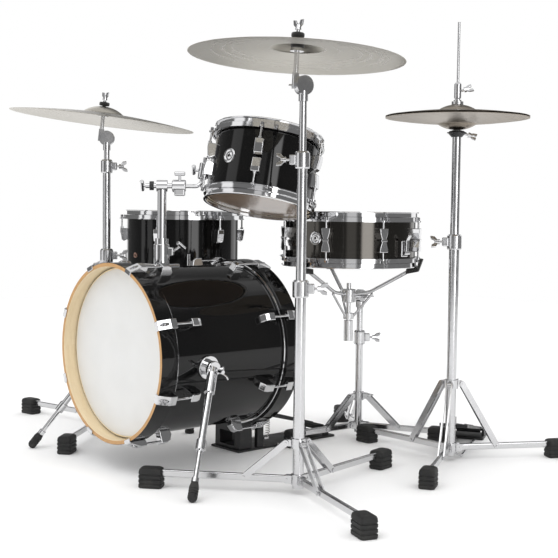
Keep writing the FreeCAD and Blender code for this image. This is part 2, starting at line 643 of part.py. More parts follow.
def cymbal_stand(name):
    """Straight cymbal stand: base, two sliding tubes, ratchet tilter and cymbal."""
    size = CYMBALS[name]
    hub = STANDS[name]["hub"]
    low, high = size["clamps"]
    tripod(name, LOWER_TUBE, False)
    add(name + "_base", tube(hub + UP * 14, hub + UP * (low + CLAMP_GRIP), LOWER_TUBE, LOWER_BORE))
    for piece in height_clamp(hub + UP * low, LOWER_TUBE, MIDDLE_TUBE + SLIDE_GAP, size["wings"][0]):
        add(name + "_base", piece)
    add(name + "_middle_tube", tube(hub + UP * (low - 140), hub + UP * (high + CLAMP_GRIP),
                                    MIDDLE_TUBE, MIDDLE_BORE))
    for piece in height_clamp(hub + UP * high, MIDDLE_TUBE, TOP_TUBE + SLIDE_GAP, size["wings"][1]):
        add(name + "_middle_tube", piece)

    pivot, axle, start, seat, upward = cymbal_frame(name)
    fixed = fuse(rod(hub + UP * (high - 130), pivot - UP * 12, TOP_TUBE),
                 rod(pivot, pivot + axle * TILTER_HALF, TILTER_DISC),
                 rod(pivot - UP * 34, pivot - UP * 12, TOP_TUBE + 2.5))
    add(name + "_top_tube", fixed.cut(rod(pivot - axle * 20, pivot, TILTER_DISC + 1)))

    disc = rod(pivot - axle * MOVING_GAP, pivot - axle * (MOVING_GAP + TILTER_HALF), TILTER_DISC)
    disc = disc.makeFillet(1.2, disc.Edges)
    socket = rod(start - upward * 8, start + upward * 26, 7.5)
    socket = socket.cut(rod(pivot - axle * MOVING_GAP, pivot + axle * 20, TILTER_DISC + 20))
    spindle = rod(start + upward * 26, seat + upward * 34, SPINDLE)
    shoulder = tube(start + upward * 26, seat - upward * 26, 5.6, SPINDLE)
    bolt = wing_bolt(pivot - axle * (MOVING_GAP + TILTER_HALF), axle * -1, 8, 14, 90)
    add(name + "_tilter", spindle, shoulder, *with_bolt(fuse(disc, socket), bolt))
    for piece in seat_parts(SPINDLE):
        add(name + "_tilter", aimed(piece, seat, upward))
    nut = wing_bolt(V(), UP, 6, 14).cut(rod(V(), UP * 18, SPINDLE))
    nut.translate(UP * 16)
    add(name + "_tilter", aimed(nut, seat, upward))
    add(name + "_cymbal", aimed(cymbal(size["radius"], 58, 20, 20), seat, upward))


# ---------------------------------------------------------------- hi-hat

def hihat():
    """Hi-hat stand with folding tripod, pull rod, paired cymbals and pedal."""
    hub = STANDS["hihat"]["hub"]
    tripod("hihat", LOWER_TUBE, True)
    slot = turned(box(V(0, -5, 66), V(30, 5, YOKE_TOP + HIHAT_TRAVEL + 6)), PEDAL_AZIMUTH, hub)
    outer = tube(hub + UP * 14, hub + UP * (HIHAT_CLAMP + CLAMP_GRIP), LOWER_TUBE, LOWER_BORE)
    add("hihat_base", outer.cut(slot))
    for piece in height_clamp(hub + UP * HIHAT_CLAMP, LOWER_TUBE, MIDDLE_TUBE + SLIDE_GAP, 228):
        add("hihat_base", piece)
    heel = box(V(HIHAT_HEEL - 40, -46, 0), V(HIHAT_HEEL + 38, 46, 8), 2.5)
    posts = [box(V(HIHAT_HEEL - 8, y - 4, 6), V(HIHAT_HEEL + 8, y + 4, 30), 2) for y in (-41, 41)]
    axle = rod(V(HIHAT_HEEL, -44, 22), V(HIHAT_HEEL, 44, 22), 3.0)
    add("hihat_base", turned(fuse(heel, *posts, axle), PEDAL_AZIMUTH, hub))
    for y in (-24, 24):
        stay = bent_rod([V(12, y / 3, 20), V(40, y, 6), V(HIHAT_HEEL - 40, y, 4)], 3.0, 20)
        stay = stay.cut(rod(V(), UP * 60, LOWER_TUBE)).cut(rod(UP * 20, UP * 60, LOWER_TUBE + 4))
        add("hihat_base", turned(stay, PEDAL_AZIMUTH, hub))

    foot_board = slab([(HIHAT_TOE, 84), (HIHAT_TOE + 8, 84), (HIHAT_HEEL, 31), (HIHAT_HEEL, 26),
                       (HIHAT_HEEL - 12, 26), (HIHAT_TOE, 77)], 72.0)
    knuckle = tube(V(HIHAT_HEEL, -33, 22), V(HIHAT_HEEL, 33, 22), 8, 3.0 + SLIDE_GAP)
    board = fuse(foot_board.cut(rod(V(HIHAT_HEEL, -33, 22), V(HIHAT_HEEL, 33, 22), 7)), knuckle)
    cleats = [rod(V(x, y, 0), V(x, y, 3), 3) for x in (90, 130, 170, 210) for y in (-24, 0, 24)]
    slope = math.degrees(math.atan2(84 - 31, HIHAT_HEEL - HIHAT_TOE - 8))
    raised = []
    for cleat in cleats:
        cleat.rotate(V(HIHAT_HEEL, 0, 0), V(0, 1, 0), slope)
        cleat.translate(V(0, 0, 30))
        raised.append(cleat)
    add("hihat_footboard", turned(fuse(board, *raised), PEDAL_AZIMUTH, hub))

    top = HIHAT_TUBE_TOP
    add("hihat_upper_tube", tube(hub + UP * (HIHAT_CLAMP - 150), hub + UP * top,
                                 MIDDLE_TUBE, MIDDLE_BORE))
    bell_rise, bow_rise = 15.0, 13.0
    lower_hole = HIHAT_EDGE - CYMBAL_SHEET - HIHAT_GAP / 2 - bell_rise - bow_rise
    rest = lower_hole - CYMBAL_SHEET - MOVING_GAP
    cup = revolve([(PULL_ROD + SLIDE_GAP, top), (13, top), (24, top + 12), (24, rest - 8),
                   (PULL_ROD + SLIDE_GAP, rest - 8)])
    felt = revolve([(PULL_ROD + 1, rest - 8), (20, rest - 8), (19, rest - 3), (8, rest),
                    (PULL_ROD + 1, rest)])
    tilt_screw = wing_bolt(hub + polar(20, 40, top + 8), polar(1, 40, -0.3), 10, 9)
    add("hihat_upper_tube", turned(felt, 0, hub), *with_bolt(turned(cup, 0, hub), tilt_screw))
    plate = cymbal(HIHAT_RADIUS, 50, bell_rise, bow_rise)
    bottom = plate.mirror(V(), UP)
    bottom.translate(hub + UP * lower_hole)
    add("hihat_bottom_cymbal", bottom)
    upper_hole = HIHAT_EDGE + HIHAT_GAP / 2 + bell_rise + bow_rise
    plate = plate.copy()
    plate.translate(hub + UP * upper_hole)
    add("hihat_top_cymbal", plate)

    shaft = rod(hub + UP * 108, hub + UP * HIHAT_ROD_TOP, PULL_ROD)
    yoke = turned(box(V(0, -3, 100), V(HIHAT_TOE + 4, 3, YOKE_TOP), 1), PEDAL_AZIMUTH, hub)
    strap = turned(box(V(HIHAT_TOE - 4, -8, 85.2), V(HIHAT_TOE + 1, 8, 104), 1), PEDAL_AZIMUTH, hub)
    add("hihat_pull_rod", fuse(shaft, yoke, strap))
    clutch = [revolve([(PULL_ROD, -11), (6.2, -11), (6.2, 16), (9, 18), (9, 52), (6, 56),
                       (PULL_ROD, 56)]),
              revolve([(6.2, CYMBAL_SHEET + 0.5), (15, CYMBAL_SHEET + 0.5), (15, 9), (6.2, 9)]),
              revolve([(6.2, 9), (10, 9), (10, 13), (6.2, 13)]),
              revolve([(6.2, -7.5), (13, -7.5), (13, -0.5), (6.2, -0.5)])]
    bolt = wing_bolt(hub + polar(9, 48, upper_hole + 36), polar(1, 48, 0.3), 9, 12)
    for piece in clutch:
        add("hihat_pull_rod", turned(piece, 0, hub + UP * upper_hole).cut(bolt))
    add("hihat_pull_rod", bolt)


# ---------------------------------------------------------------- snare stand

def snare_stand():
    """Snare stand with folding tripod and tilting basket."""
    hub = STANDS["snare_stand"]["hub"]
    tripod("snare_stand", SNARE_TUBE, True)
    add("snare_stand_base", tube(hub + UP * 14, hub + UP * (SNARE_CLAMP + CLAMP_GRIP), SNARE_TUBE,
                                 SNARE_BORE))
    for piece in height_clamp(hub + UP * SNARE_CLAMP, SNARE_TUBE, SNARE_UPPER + SLIDE_GAP, 48):
        add("snare_stand_base", piece)

    pivot = hub + UP * SNARE_HINGE
    inward = V(SNARE_CENTRE.x - hub.x, SNARE_CENTRE.y - hub.y, 0)
    gap = inward.Length
    inward.normalize()
    axle = V(-inward.y, inward.x, 0)
    fork = rod(pivot - axle * 9, pivot - axle * (MOVING_GAP / 2), 17)
    fork = fork.makeFillet(1.2, fork.Edges)
    upper = fuse(rod(hub + UP * 140, pivot - UP * 10, SNARE_UPPER), fork,
                 rod(pivot - UP * 32, pivot - UP * 16, SNARE_UPPER + 3))
    add("snare_stand_upper_tube", upper.cut(rod(pivot - axle * (MOVING_GAP / 2), pivot + axle * 30,
                                                18)))

    centre = pivot + inward * gap
    disc = rod(pivot + axle * (MOVING_GAP / 2), pivot + axle * 9, 17)
    disc = disc.makeFillet(1.2, disc.Edges)
    neck = rod(pivot + axle * 4.6 + inward * 6, centre + axle * 1.0, 6.5)
    neck = neck.cut(rod(pivot - axle * 20, pivot + axle * (MOVING_GAP / 2), 60))
    boss = rod(centre - UP * 16, centre + UP * 20, 19)
    boss = boss.makeFillet(2.0, boss.Edges)
    post = rod(centre - UP * 96, centre + UP * 36, 6)
    frame = fuse(disc, neck, boss, post)
    add("snare_basket", *with_bolt(frame, wing_bolt(pivot + axle * 9, axle, 8, 14, 90)))
    knob = tube(centre - UP * 122, centre - UP * 66, 13, 6)
    cap = rod(centre - UP * 122, centre - UP * 96, 6)
    add("snare_basket", knob, cap)
    slider = tube(centre - UP * 62, centre - UP * 46, 15, 6.0)
    add("snare_basket", slider)
    rim = SNARE_CENTRE.z - SNARE_DEPTH / 2 - HOOP_TOP
    for azimuth in BASKET_ARMS:
        shelf = SNARE_RADIUS + 9
        arm = bent_rod([V(15, 0, SNARE_HINGE + 6), V(60, 0, SNARE_HINGE + 14),
                        V(shelf - 26, 0, rim - 13)], 5.0, 40)
        strut = rod(V(13, 0, SNARE_HINGE - 54), V(66, 0, SNARE_HINGE + 10), 3.4)
        strut = strut.cut(rod(UP * 300, UP * 500, 15)).cut(arm)
        arm = arm.cut(rod(UP * 300, UP * 500, 19))
        grip = slab([(shelf - 30, rim - 19), (shelf + 3, rim - 12), (shelf + 15, rim + 22),
                     (shelf + 4, rim + 24), (shelf + 1, rim - 0.4), (shelf - 29, rim - 4.5)], 26.0, 1.6)
        place = V(SNARE_CENTRE.x, SNARE_CENTRE.y, 0)
        grip = grip.cut(arm)
        for piece in (arm, strut, grip):
            add("snare_basket", turned(piece, azimuth, place))


def snare_drum():
    """Snare drum with strainer, butt plate and snare wires."""
    place = drum_place(SNARE_CENTRE)
    body = flanged_drum("snare", SNARE_RADIUS, SNARE_DEPTH, SNARE_LUGS, place, 31)
    put("snare_shell", [body], place)
    outer = rod(V(0, 0, -40), V(0, 0, 40), SNARE_RADIUS)
    azimuth = STRAINER_AZIMUTH
    block = box(V(SNARE_RADIUS - 4, -13, -21), V(SNARE_RADIUS + 13, 13, 21), 2.5).cut(outer)
    butt = box(V(SNARE_RADIUS - 4, -13, -30), V(SNARE_RADIUS + 12, 13, -4), 2.5).cut(outer)
    block.translate(UP * STRAINER_LOW)
    put("snare_lugs", [turned(block, azimuth), turned(butt, azimuth + 180)], place)
    lever = slab([(SNARE_RADIUS + 15, -15), (SNARE_RADIUS + 21, -15), (SNARE_RADIUS + 23, 23),
                  (SNARE_RADIUS + 31, 35), (SNARE_RADIUS + 27, 37), (SNARE_RADIUS + 17, 25)], 12.0, 1.5)
    axle = rod(V(SNARE_RADIUS + 18, -11, -11), V(SNARE_RADIUS + 18, 11, -11), 4.0)
    lever = turned(fuse(lever, axle), azimuth, UP * STRAINER_LOW)
    put("snare_strainer_lever", [lever], place)
    under = -SNARE_DEPTH / 2 - 2.2
    wires = [rod(V(-120, y, under), V(120, y, under), 0.8) for y in range(-18, 19, 4)]
    bars = [box(V(x - 6, -21, under - 0.9), V(x + 6, 21, under + 0.9)) for x in (-126, 126)]
    put("snare_lugs", [turned(piece, azimuth) for piece in wires + bars], place)


# ---------------------------------------------------------------- toms

def rack_tom():
    """Rack tom with its bracket."""
    place = drum_place(TOM_CENTRE, TOM_LEAN, TOM_LEAN_AZIMUTH)
    put("tom_shell", [flanged_drum("tom", TOM_RADIUS, TOM_DEPTH, TOM_LUGS, place)], place)
    tom_bracket()


def floor_tom():
    """Floor tom with leg brackets and its legs."""
    place = drum_place(FLOOR_TOM_CENTRE)
    body = flanged_drum("floor_tom", FLOOR_TOM_RADIUS, FLOOR_TOM_DEPTH, FLOOR_TOM_LUGS, place)
    put("floor_tom_shell", [body], place)
    outer = rod(V(0, 0, -200), V(0, 0, 200), FLOOR_TOM_RADIUS)
    line = FLOOR_TOM_RADIUS + 20
    vent = tube(V(FLOOR_TOM_RADIUS - 1, 0, 0), V(FLOOR_TOM_RADIUS + 2.5, 0, 0), 7.5, 4).cut(outer)
    vent.translate(V(0, 0, 38))
    put("floor_tom_lugs", [turned(vent, 269)], place)
    for azimuth in (-31, 89, 209):
        bracket = box(V(FLOOR_TOM_RADIUS - 5, -14, -64), V(line + 11, 14, -22), 3.5)
        bracket = bracket.cut(outer).cut(rod(V(line, 0, -70), V(line, 0, 0), 5 + SLIDE_GAP))
        bolt = wing_bolt(V(line + 11, 0, -43), V(1, 0, 0), 9, 12)
        put("floor_tom_lugs", [turned(bracket, azimuth), turned(bolt, azimuth)], place)
        floor = -FLOOR_TOM_CENTRE.z
        leg = bent_rod([V(line, 0, 46), V(line, 0, floor + 150), V(line + 50, 0, floor + 34)], 5, 60)
        foot = revolve([(0, 0), (11, 0), (13, 3), (13, 30), (9, 38), (0, 38)])
        foot.translate(V(line + 54, 0, floor))
        put("floor_tom_legs", [turned(leg.cut(foot), azimuth), turned(foot, azimuth)], place)


# ---------------------------------------------------------------- bass pedal

def add_pedal(node, *shapes):
    """Add pedal solids that were made about x = 0, at the pedal's own place."""
    for shape in shapes:
        add(node, turned(shape, 0, V(PEDAL_X, 0, 0)))


def bass_pedal():
    """Pedal with its riser under the rear hoop."""
    hoop = rod(V(-PEDAL_X, 100, 284), V(-PEDAL_X, 260, 284), BASS_RADIUS + WOOD_HOOP_OUT + 0.3)
    plate = box(V(-58, 158, 0), V(58, 505, 6), 2)
    riser = box(V(-52, 166, 4), V(52, 209, 84), 4).cut(hoop)
    window = box(V(-30, 150, 14), V(30, 230, 50))
    posts = [box(V(x - 7, 224, 4), V(x + 7, 246, 198), 3) for x in (-48, 48)]
    bores = rod(V(-70, 235, 185), V(70, 235, 185), 5 + SLIDE_GAP)
    heel_posts = [box(V(x - 4, PEDAL_HEEL_Y - 9, 4), V(x + 4, PEDAL_HEEL_Y + 9, 32), 2)
                  for x in (-46, 46)]
    heel_axle = rod(V(-48, PEDAL_HEEL_Y, 24), V(48, PEDAL_HEEL_Y, 24), 3.0)
    frame = fuse(plate, riser.cut(window), *posts).cut(bores)
    add_pedal("pedal_base", fuse(frame, *heel_posts, heel_axle))

    board = slab([(262, 92), (274, 92), (PEDAL_HEEL_Y, 34), (PEDAL_HEEL_Y, 28), (262, 84)], 78.0)
    board.rotate(V(), UP, 90)
    knuckle = tube(V(-40, PEDAL_HEEL_Y, 24), V(40, PEDAL_HEEL_Y, 24), 8, 3.0 + SLIDE_GAP)
    board = board.cut(rod(V(-50, PEDAL_HEEL_Y, 24), V(50, PEDAL_HEEL_Y, 24), 7))
    chain = box(V(-6, 260, 86), V(6, 266, 168), 1)
    add_pedal("pedal_footboard", fuse(board, knuckle), chain.cut(board))

    place = SHAFT_PLACE
    shaft = rod(place - V(60, 0, 0), place + V(60, 0, 0), 5)
    cam = rod(place - V(10, 0, 0), place + V(10, 0, 0), 22)
    cam = cam.makeFillet(2, cam.Edges)
    back = V(0, math.sin(math.radians(BEATER_REST)), math.cos(math.radians(BEATER_REST)))
    stem_top = place + back * 150
    forward = V(0, -math.cos(math.radians(BEATER_REST)), math.sin(math.radians(BEATER_REST)))
    centre = place + back * 128
    stem = rod(place, stem_top, 3.5)
    felt = rod(centre - forward * 6, centre + forward * 51, 24)
    felt = felt.makeFillet(5, felt.Edges).cut(stem)
    add_pedal("pedal_beater", fuse(shaft, cam, stem), felt)


# ---------------------------------------------------------------- build

def build():
    """Make every node."""
    bass_drum()
    for side, name in ((1, "spur_right"), (-1, "spur_left")):
        spur(side, name)
    tom_mount()
    rack_tom()
    floor_tom()
    snare_drum()
    snare_stand()
    cymbal_stand("ride")
    cymbal_stand("crash")
    hihat()
    bass_pedal()


def plan_shift():
    """Move that brings the middle of the kit's footprint to the origin."""
    whole = FreeCAD.BoundBox()
    for solids in NODES.values():
        for solid in solids:
            whole.add(solid.BoundBox)
    return V(-whole.Center.x, -whole.Center.y, 0)


def export():
    """Write one STEP per node, in the part's own frame."""
    os.makedirs("parts", exist_ok=True)
    shift = plan_shift()
    for node, solids in sorted(NODES.items()):
        shape = Part.makeCompound(solids)
        shape.translate(shift)
        shape.exportStep("parts/%s.step" % node)
    print(len(NODES), "nodes,", sum(len(s) for s in NODES.values()), "solids")


build()
if __name__ == "__main__":
    export()
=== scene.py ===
import json
import math
import bmesh
import bpy
import numpy as np
from mathutils import Matrix, Vector, noise


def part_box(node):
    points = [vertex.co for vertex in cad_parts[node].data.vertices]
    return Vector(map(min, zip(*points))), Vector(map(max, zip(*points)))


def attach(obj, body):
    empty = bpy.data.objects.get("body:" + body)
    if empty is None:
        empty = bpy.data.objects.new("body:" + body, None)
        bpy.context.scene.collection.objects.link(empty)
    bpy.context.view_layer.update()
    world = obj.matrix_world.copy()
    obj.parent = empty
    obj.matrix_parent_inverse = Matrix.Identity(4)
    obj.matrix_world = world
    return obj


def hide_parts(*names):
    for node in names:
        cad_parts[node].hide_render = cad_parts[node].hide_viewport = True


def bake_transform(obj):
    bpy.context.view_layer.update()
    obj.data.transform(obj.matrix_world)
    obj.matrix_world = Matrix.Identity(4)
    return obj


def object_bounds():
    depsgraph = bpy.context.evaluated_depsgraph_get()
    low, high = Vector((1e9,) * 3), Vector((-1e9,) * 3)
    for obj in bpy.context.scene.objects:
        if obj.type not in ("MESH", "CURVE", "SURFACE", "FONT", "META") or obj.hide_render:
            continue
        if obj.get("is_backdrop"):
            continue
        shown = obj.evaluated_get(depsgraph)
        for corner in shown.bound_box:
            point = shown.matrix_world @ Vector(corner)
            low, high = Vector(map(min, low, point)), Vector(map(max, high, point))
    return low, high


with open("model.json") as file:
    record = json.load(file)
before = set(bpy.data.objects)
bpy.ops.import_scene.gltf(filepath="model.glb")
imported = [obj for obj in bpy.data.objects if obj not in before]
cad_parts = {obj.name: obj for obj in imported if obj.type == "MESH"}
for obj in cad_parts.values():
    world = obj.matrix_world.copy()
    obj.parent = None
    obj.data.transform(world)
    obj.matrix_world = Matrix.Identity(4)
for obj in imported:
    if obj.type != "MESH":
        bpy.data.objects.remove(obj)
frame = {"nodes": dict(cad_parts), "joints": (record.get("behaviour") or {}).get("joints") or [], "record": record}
cad_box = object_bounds()
NODES = frame["nodes"]
JOINTS = {joint["name"]: joint for joint in frame["joints"]}
BODY_OF = {node: body for body, nodes in frame["record"]["behaviour"]["bodies"].items() for node in nodes}
UP = Vector((0, 0, 1))
MM = 0.001
WELD = 1e-6

# The camera, measured from the middle of the bass drum, and its own angles in degrees.
CAMERA_FROM_BASS = Vector((2.2034, -1.6329))
CAMERA_HEIGHT, CAMERA_YAW, CAMERA_PITCH, CAMERA_ROLL = 0.6287, 48.37, 3.59, 0.70
CAMERA_LENS, CAMERA_SENSOR = 70.97, 36.0

# Drum and cymbal sizes, in metres
BASS_RADIUS, FLOOR_TOM_RADIUS = 0.2032, 0.1651
SNARE_RADIUS, TOM_RADIUS = 0.1778, 0.1270
CYMBAL_SHEET, CYMBAL_HOLE, SEAT_DROP = 0.0016, 0.007, 0.014
CYMBAL_LEAN = {"ride": (2.9, 79.0), "crash": (6.2, 48.0)}
CYMBAL_RADIUS = {"ride": 0.236, "crash": 0.258}
STRAINER_AZIMUTH = 4.0
FLOOR_TOM_CUP = 0.038

# The right spur's knee and foot, in millimetres from the bass drum's middle on the floor
SPUR_KNEE, SPUR_FOOT, SPUR_TIP = Vector((232.9, -84, 243.5)), Vector((345, -222, 11)), 11.0

# Bass drum pedal, in millimetres and degrees
PEDAL_X, CHAIN_Y, BEATER_REST = -18.0, 263.0, 42.0
SHAFT = (235.0, 185.0)

# Studio: light levels, and each soft box's azimuth and half width in degrees with its level
FILL, WALL, CEILING = 1.22, 0.20, 0.95
SOFT_BOXES = ((346.0, 10.0, 4.2), (318.0, 8.0, 0.5), (96.0, 12.0, 1.0), (160.0, 12.0, 1.2),
              (245.0, 14.0, 1.0))


# ---------------------------------------------------------------- places

def middle(node):
    """Middle of a CAD node's box."""
    low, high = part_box(node)
    return (low + high) / 2


def polar(radius, azimuth, height=0.0):
    """Point at a radius and azimuth in degrees about the vertical axis."""
    turn = math.radians(azimuth)
    return Vector((radius * math.cos(turn), radius * math.sin(turn), height))


def facing(origin, direction):
    """Matrix that puts a piece's own Z along direction, at origin."""
    turn = UP.rotation_difference(Vector(direction)).to_matrix().to_4x4()
    return Matrix.Translation(origin) @ turn


BASS, FLOOR_TOM, SNARE = middle("bass_shell"), middle("floor_tom_shell"), middle("snare_shell")
TOM = middle("tom_shell")
TOM_AXIS = Vector(JOINTS["tom_swivel"]["axis"])
FRONT = Vector((0, -1, 0))


def kit(x, y, z):
    """A point measured in millimetres from the bass drum's middle on the floor."""
    return Vector((BASS.x + x * MM, BASS.y + y * MM, z * MM))


# ---------------------------------------------------------------- mesh helpers

def from_bmesh(name, mesh, material, body, slot, place=None, sharp=38.0, replaces=()):
    """Object from a bmesh: smooth but for sharp edges, with its material and body, if it has one. The slot is not
    used.
    """
    bmesh.ops.recalc_face_normals(mesh, faces=mesh.faces)
    data = bpy.data.meshes.new(name)
    mesh.to_mesh(data)
    mesh.free()
    data.shade_smooth()
    data.set_sharp_from_angle(angle=math.radians(sharp))
    piece = bpy.data.objects.new(name, data)
    bpy.context.scene.collection.objects.link(piece)
    data.materials.append(material)
    if place is not None:
        piece.matrix_world = place
    if body:
        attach(piece, body)
    if replaces:
        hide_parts(*replaces)
    return piece


def lathe(mesh, outline, steps=96, place=Matrix.Identity(4)):
    """Adds a closed shape turned about Z from (radius, height) points; a zero radius makes a pole."""
    rings = []
    for radius, height in outline:
        if radius < 1e-7:
            rings.append([mesh.verts.new(place @ Vector((0, 0, height)))])
            continue
        turns = [2 * math.pi * k / steps for k in range(steps)]
        rings.append([mesh.verts.new(place @ Vector((radius * math.cos(t), radius * math.sin(t), height)))
                      for t in turns])
    pairs = list(zip(rings, rings[1:]))
    if len(rings[0]) > 1 and len(rings[-1]) > 1:
        pairs.append((rings[-1], rings[0]))
    for one, two in pairs:
        for k in range(steps):
            corner = [one[k % len(one)], one[(k + 1) % len(one)], two[(k + 1) % len(two)], two[k % len(two)]]
            unique = list(dict.fromkeys(corner))
            if len(unique) > 2:
                mesh.faces.new(unique)


def sweep(mesh, points, radius, sides=8):
    """Adds a round bar that follows points, with its frame carried along the path."""
    points = [Vector(p) for p in points]
    last = len(points) - 1
    normal = None
    rings = []
    for k, point in enumerate(points):
        along = (points[min(k + 1, last)] - points[max(k - 1, 0)]).normalized()
        if normal is None:
            normal = along.orthogonal().normalized()
        normal = (normal - along * normal.dot(along)).normalized()
        across = along.cross(normal)
        turns = [2 * math.pi * s / sides for s in range(sides)]
        rings.append([mesh.verts.new(point + (normal * math.cos(t) + across * math.sin(t)) * radius)
                      for t in turns])
    for one, two in zip(rings, rings[1:]):
        for s in range(sides):
            mesh.faces.new((one[s], one[(s + 1) % sides], two[(s + 1) % sides], two[s]))
    mesh.faces.new(rings[0])
    mesh.faces.new(rings[-1])


def rounded_block(mesh, low, high, rounding, place, segments=3):
    """Adds a box with rounded edges."""
    block = bmesh.new()
    bmesh.ops.create_cube(block, size=1.0)
    low, high = Vector(low), Vector(high)
    size, centre = high - low, (low + high) / 2
    for vert in block.verts:
        vert.co = vert.co * size + centre
    bmesh.ops.bevel(block, geom=block.edges[:], offset=rounding, segments=segments, affect="EDGES",
                    profile=0.5)
    block.transform(place)
    data = bpy.data.meshes.new("block")
    block.to_mesh(data)
    block.free()
    mesh.from_mesh(data)
    bpy.data.meshes.remove(data)


def arc(start, through, end, steps):
    """Points along the circle through three (radius, height) points."""
    (ax, ay), (bx, by), (cx, cy) = start, through, end
    scale = 2 * (ax * (by - cy) + bx * (cy - ay) + cx * (ay - by))
    a2, b2, c2 = ax * ax + ay * ay, bx * bx + by * by, cx * cx + cy * cy
    ox = (a2 * (by - cy) + b2 * (cy - ay) + c2 * (ay - by)) / scale
    oy = (a2 * (cx - bx) + b2 * (ax - cx) + c2 * (bx - ax)) / scale
    radius = math.hypot(ax - ox, ay - oy)
    first, last = math.atan2(ay - oy, ax - ox), math.atan2(cy - oy, cx - ox)
    last += 2 * math.pi * round((first - last) / (2 * math.pi))
    turns = [first + (last - first) * k / steps for k in range(steps + 1)]
    return [(ox + radius * math.cos(t), oy + radius * math.sin(t)) for t in turns]


# ---------------------------------------------------------------- CAD nodes of several materials

def solids(node):
    """The separate solids of a CAD node, each as its points and the numbers of its faces."""
    data = NODES[node].data
    points = np.empty(len(data.vertices) * 3, np.float32)
    data.vertices.foreach_get("co", points)
    points = points.reshape(-1, 3)
    keys = np.round(points / WELD).astype(np.int64)
    welded = np.unique(keys, axis=0, return_inverse=True)[1].ravel()
    parent = list(range(int(welded.max()) + 1))

    def root(k):
        while parent[k] != k:
            parent[k] = parent[parent[k]]
            k = parent[k]
        return k

    corners = np.empty(len(data.loops), np.int32)
    data.loops.foreach_get("vertex_index", corners)
    faces = [welded[corners[f.loop_start:f.loop_start + f.loop_total]] for f in data.polygons]
    for face in faces:
        first = root(int(face[0]))
        for other in face[1:]:
            parent[root(int(other))] = first
    groups = {}
    for index, face in enumerate(faces):
        groups.setdefault(root(int(face[0])), []).append(index)
    where = np.empty((len(parent), 3), np.float32)
    where[welded] = points
    return [(where[np.unique(np.concatenate([faces[m] for m in members]))], set(members))
            for members in groups.values()]


def size_of(points):
    """Box size of a solid."""
    return points.max(0) - points.min(0)


def about(points, origin, axis):
    """Lowest and highest point of a solid along an axis, and how far it reaches from it."""
    offset = points - np.array(origin)
    along = offset @ np.array(axis)
    away = np.linalg.norm(offset - np.outer(along, np.array(axis)), axis=1)
    return along.min(), along.max(), away.max()


def copy_solids(node, chosen, name, finish):
    """A piece made of some of a CAD node's solids, as they are, in a finish of its own."""
    keep = set().union(*(members for _, members in chosen))
    mesh = bmesh.new()
    mesh.from_mesh(NODES[node].data)
    bmesh.ops.delete(mesh, geom=[f for f in mesh.faces if f.index not in keep], context="FACES")
    data = bpy.data.meshes.new(name)
    mesh.to_mesh(data)
    mesh.free()
    data.materials.clear()
    data.materials.append(FINISHES[finish][0])
    piece = bpy.data.objects.new(name, data)
    bpy.context.scene.collection.objects.link(piece)
    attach(piece, BODY_OF[node])
    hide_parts(node)
    return piece


def regroup(node, sort):
    """Copies a node's solids into one piece per finish, and returns those that sort leaves out."""
    groups = {}
    for points, members in solids(node):
        groups.setdefault(sort(points), []).append((points, members))
    left_out = groups.pop(None, [])
    for finish, members in groups.items():
        copy_solids(node, members, node + "_" + finish, finish)
    return [points for points, _ in left_out]


def split(node, sort):
    """Copies a node's faces into one piece per finish by their middles.

    Faces that sort gives None are left out."""
    groups = {}
    for face in NODES[node].data.polygons:
        groups.setdefault(sort(face.center), set()).add(face.index)
    groups.pop(None, None)
    for finish, members in groups.items():
        copy_solids(node, [(None, members)], node + "_" + finish, finish)


# ---------------------------------------------------------------- materials

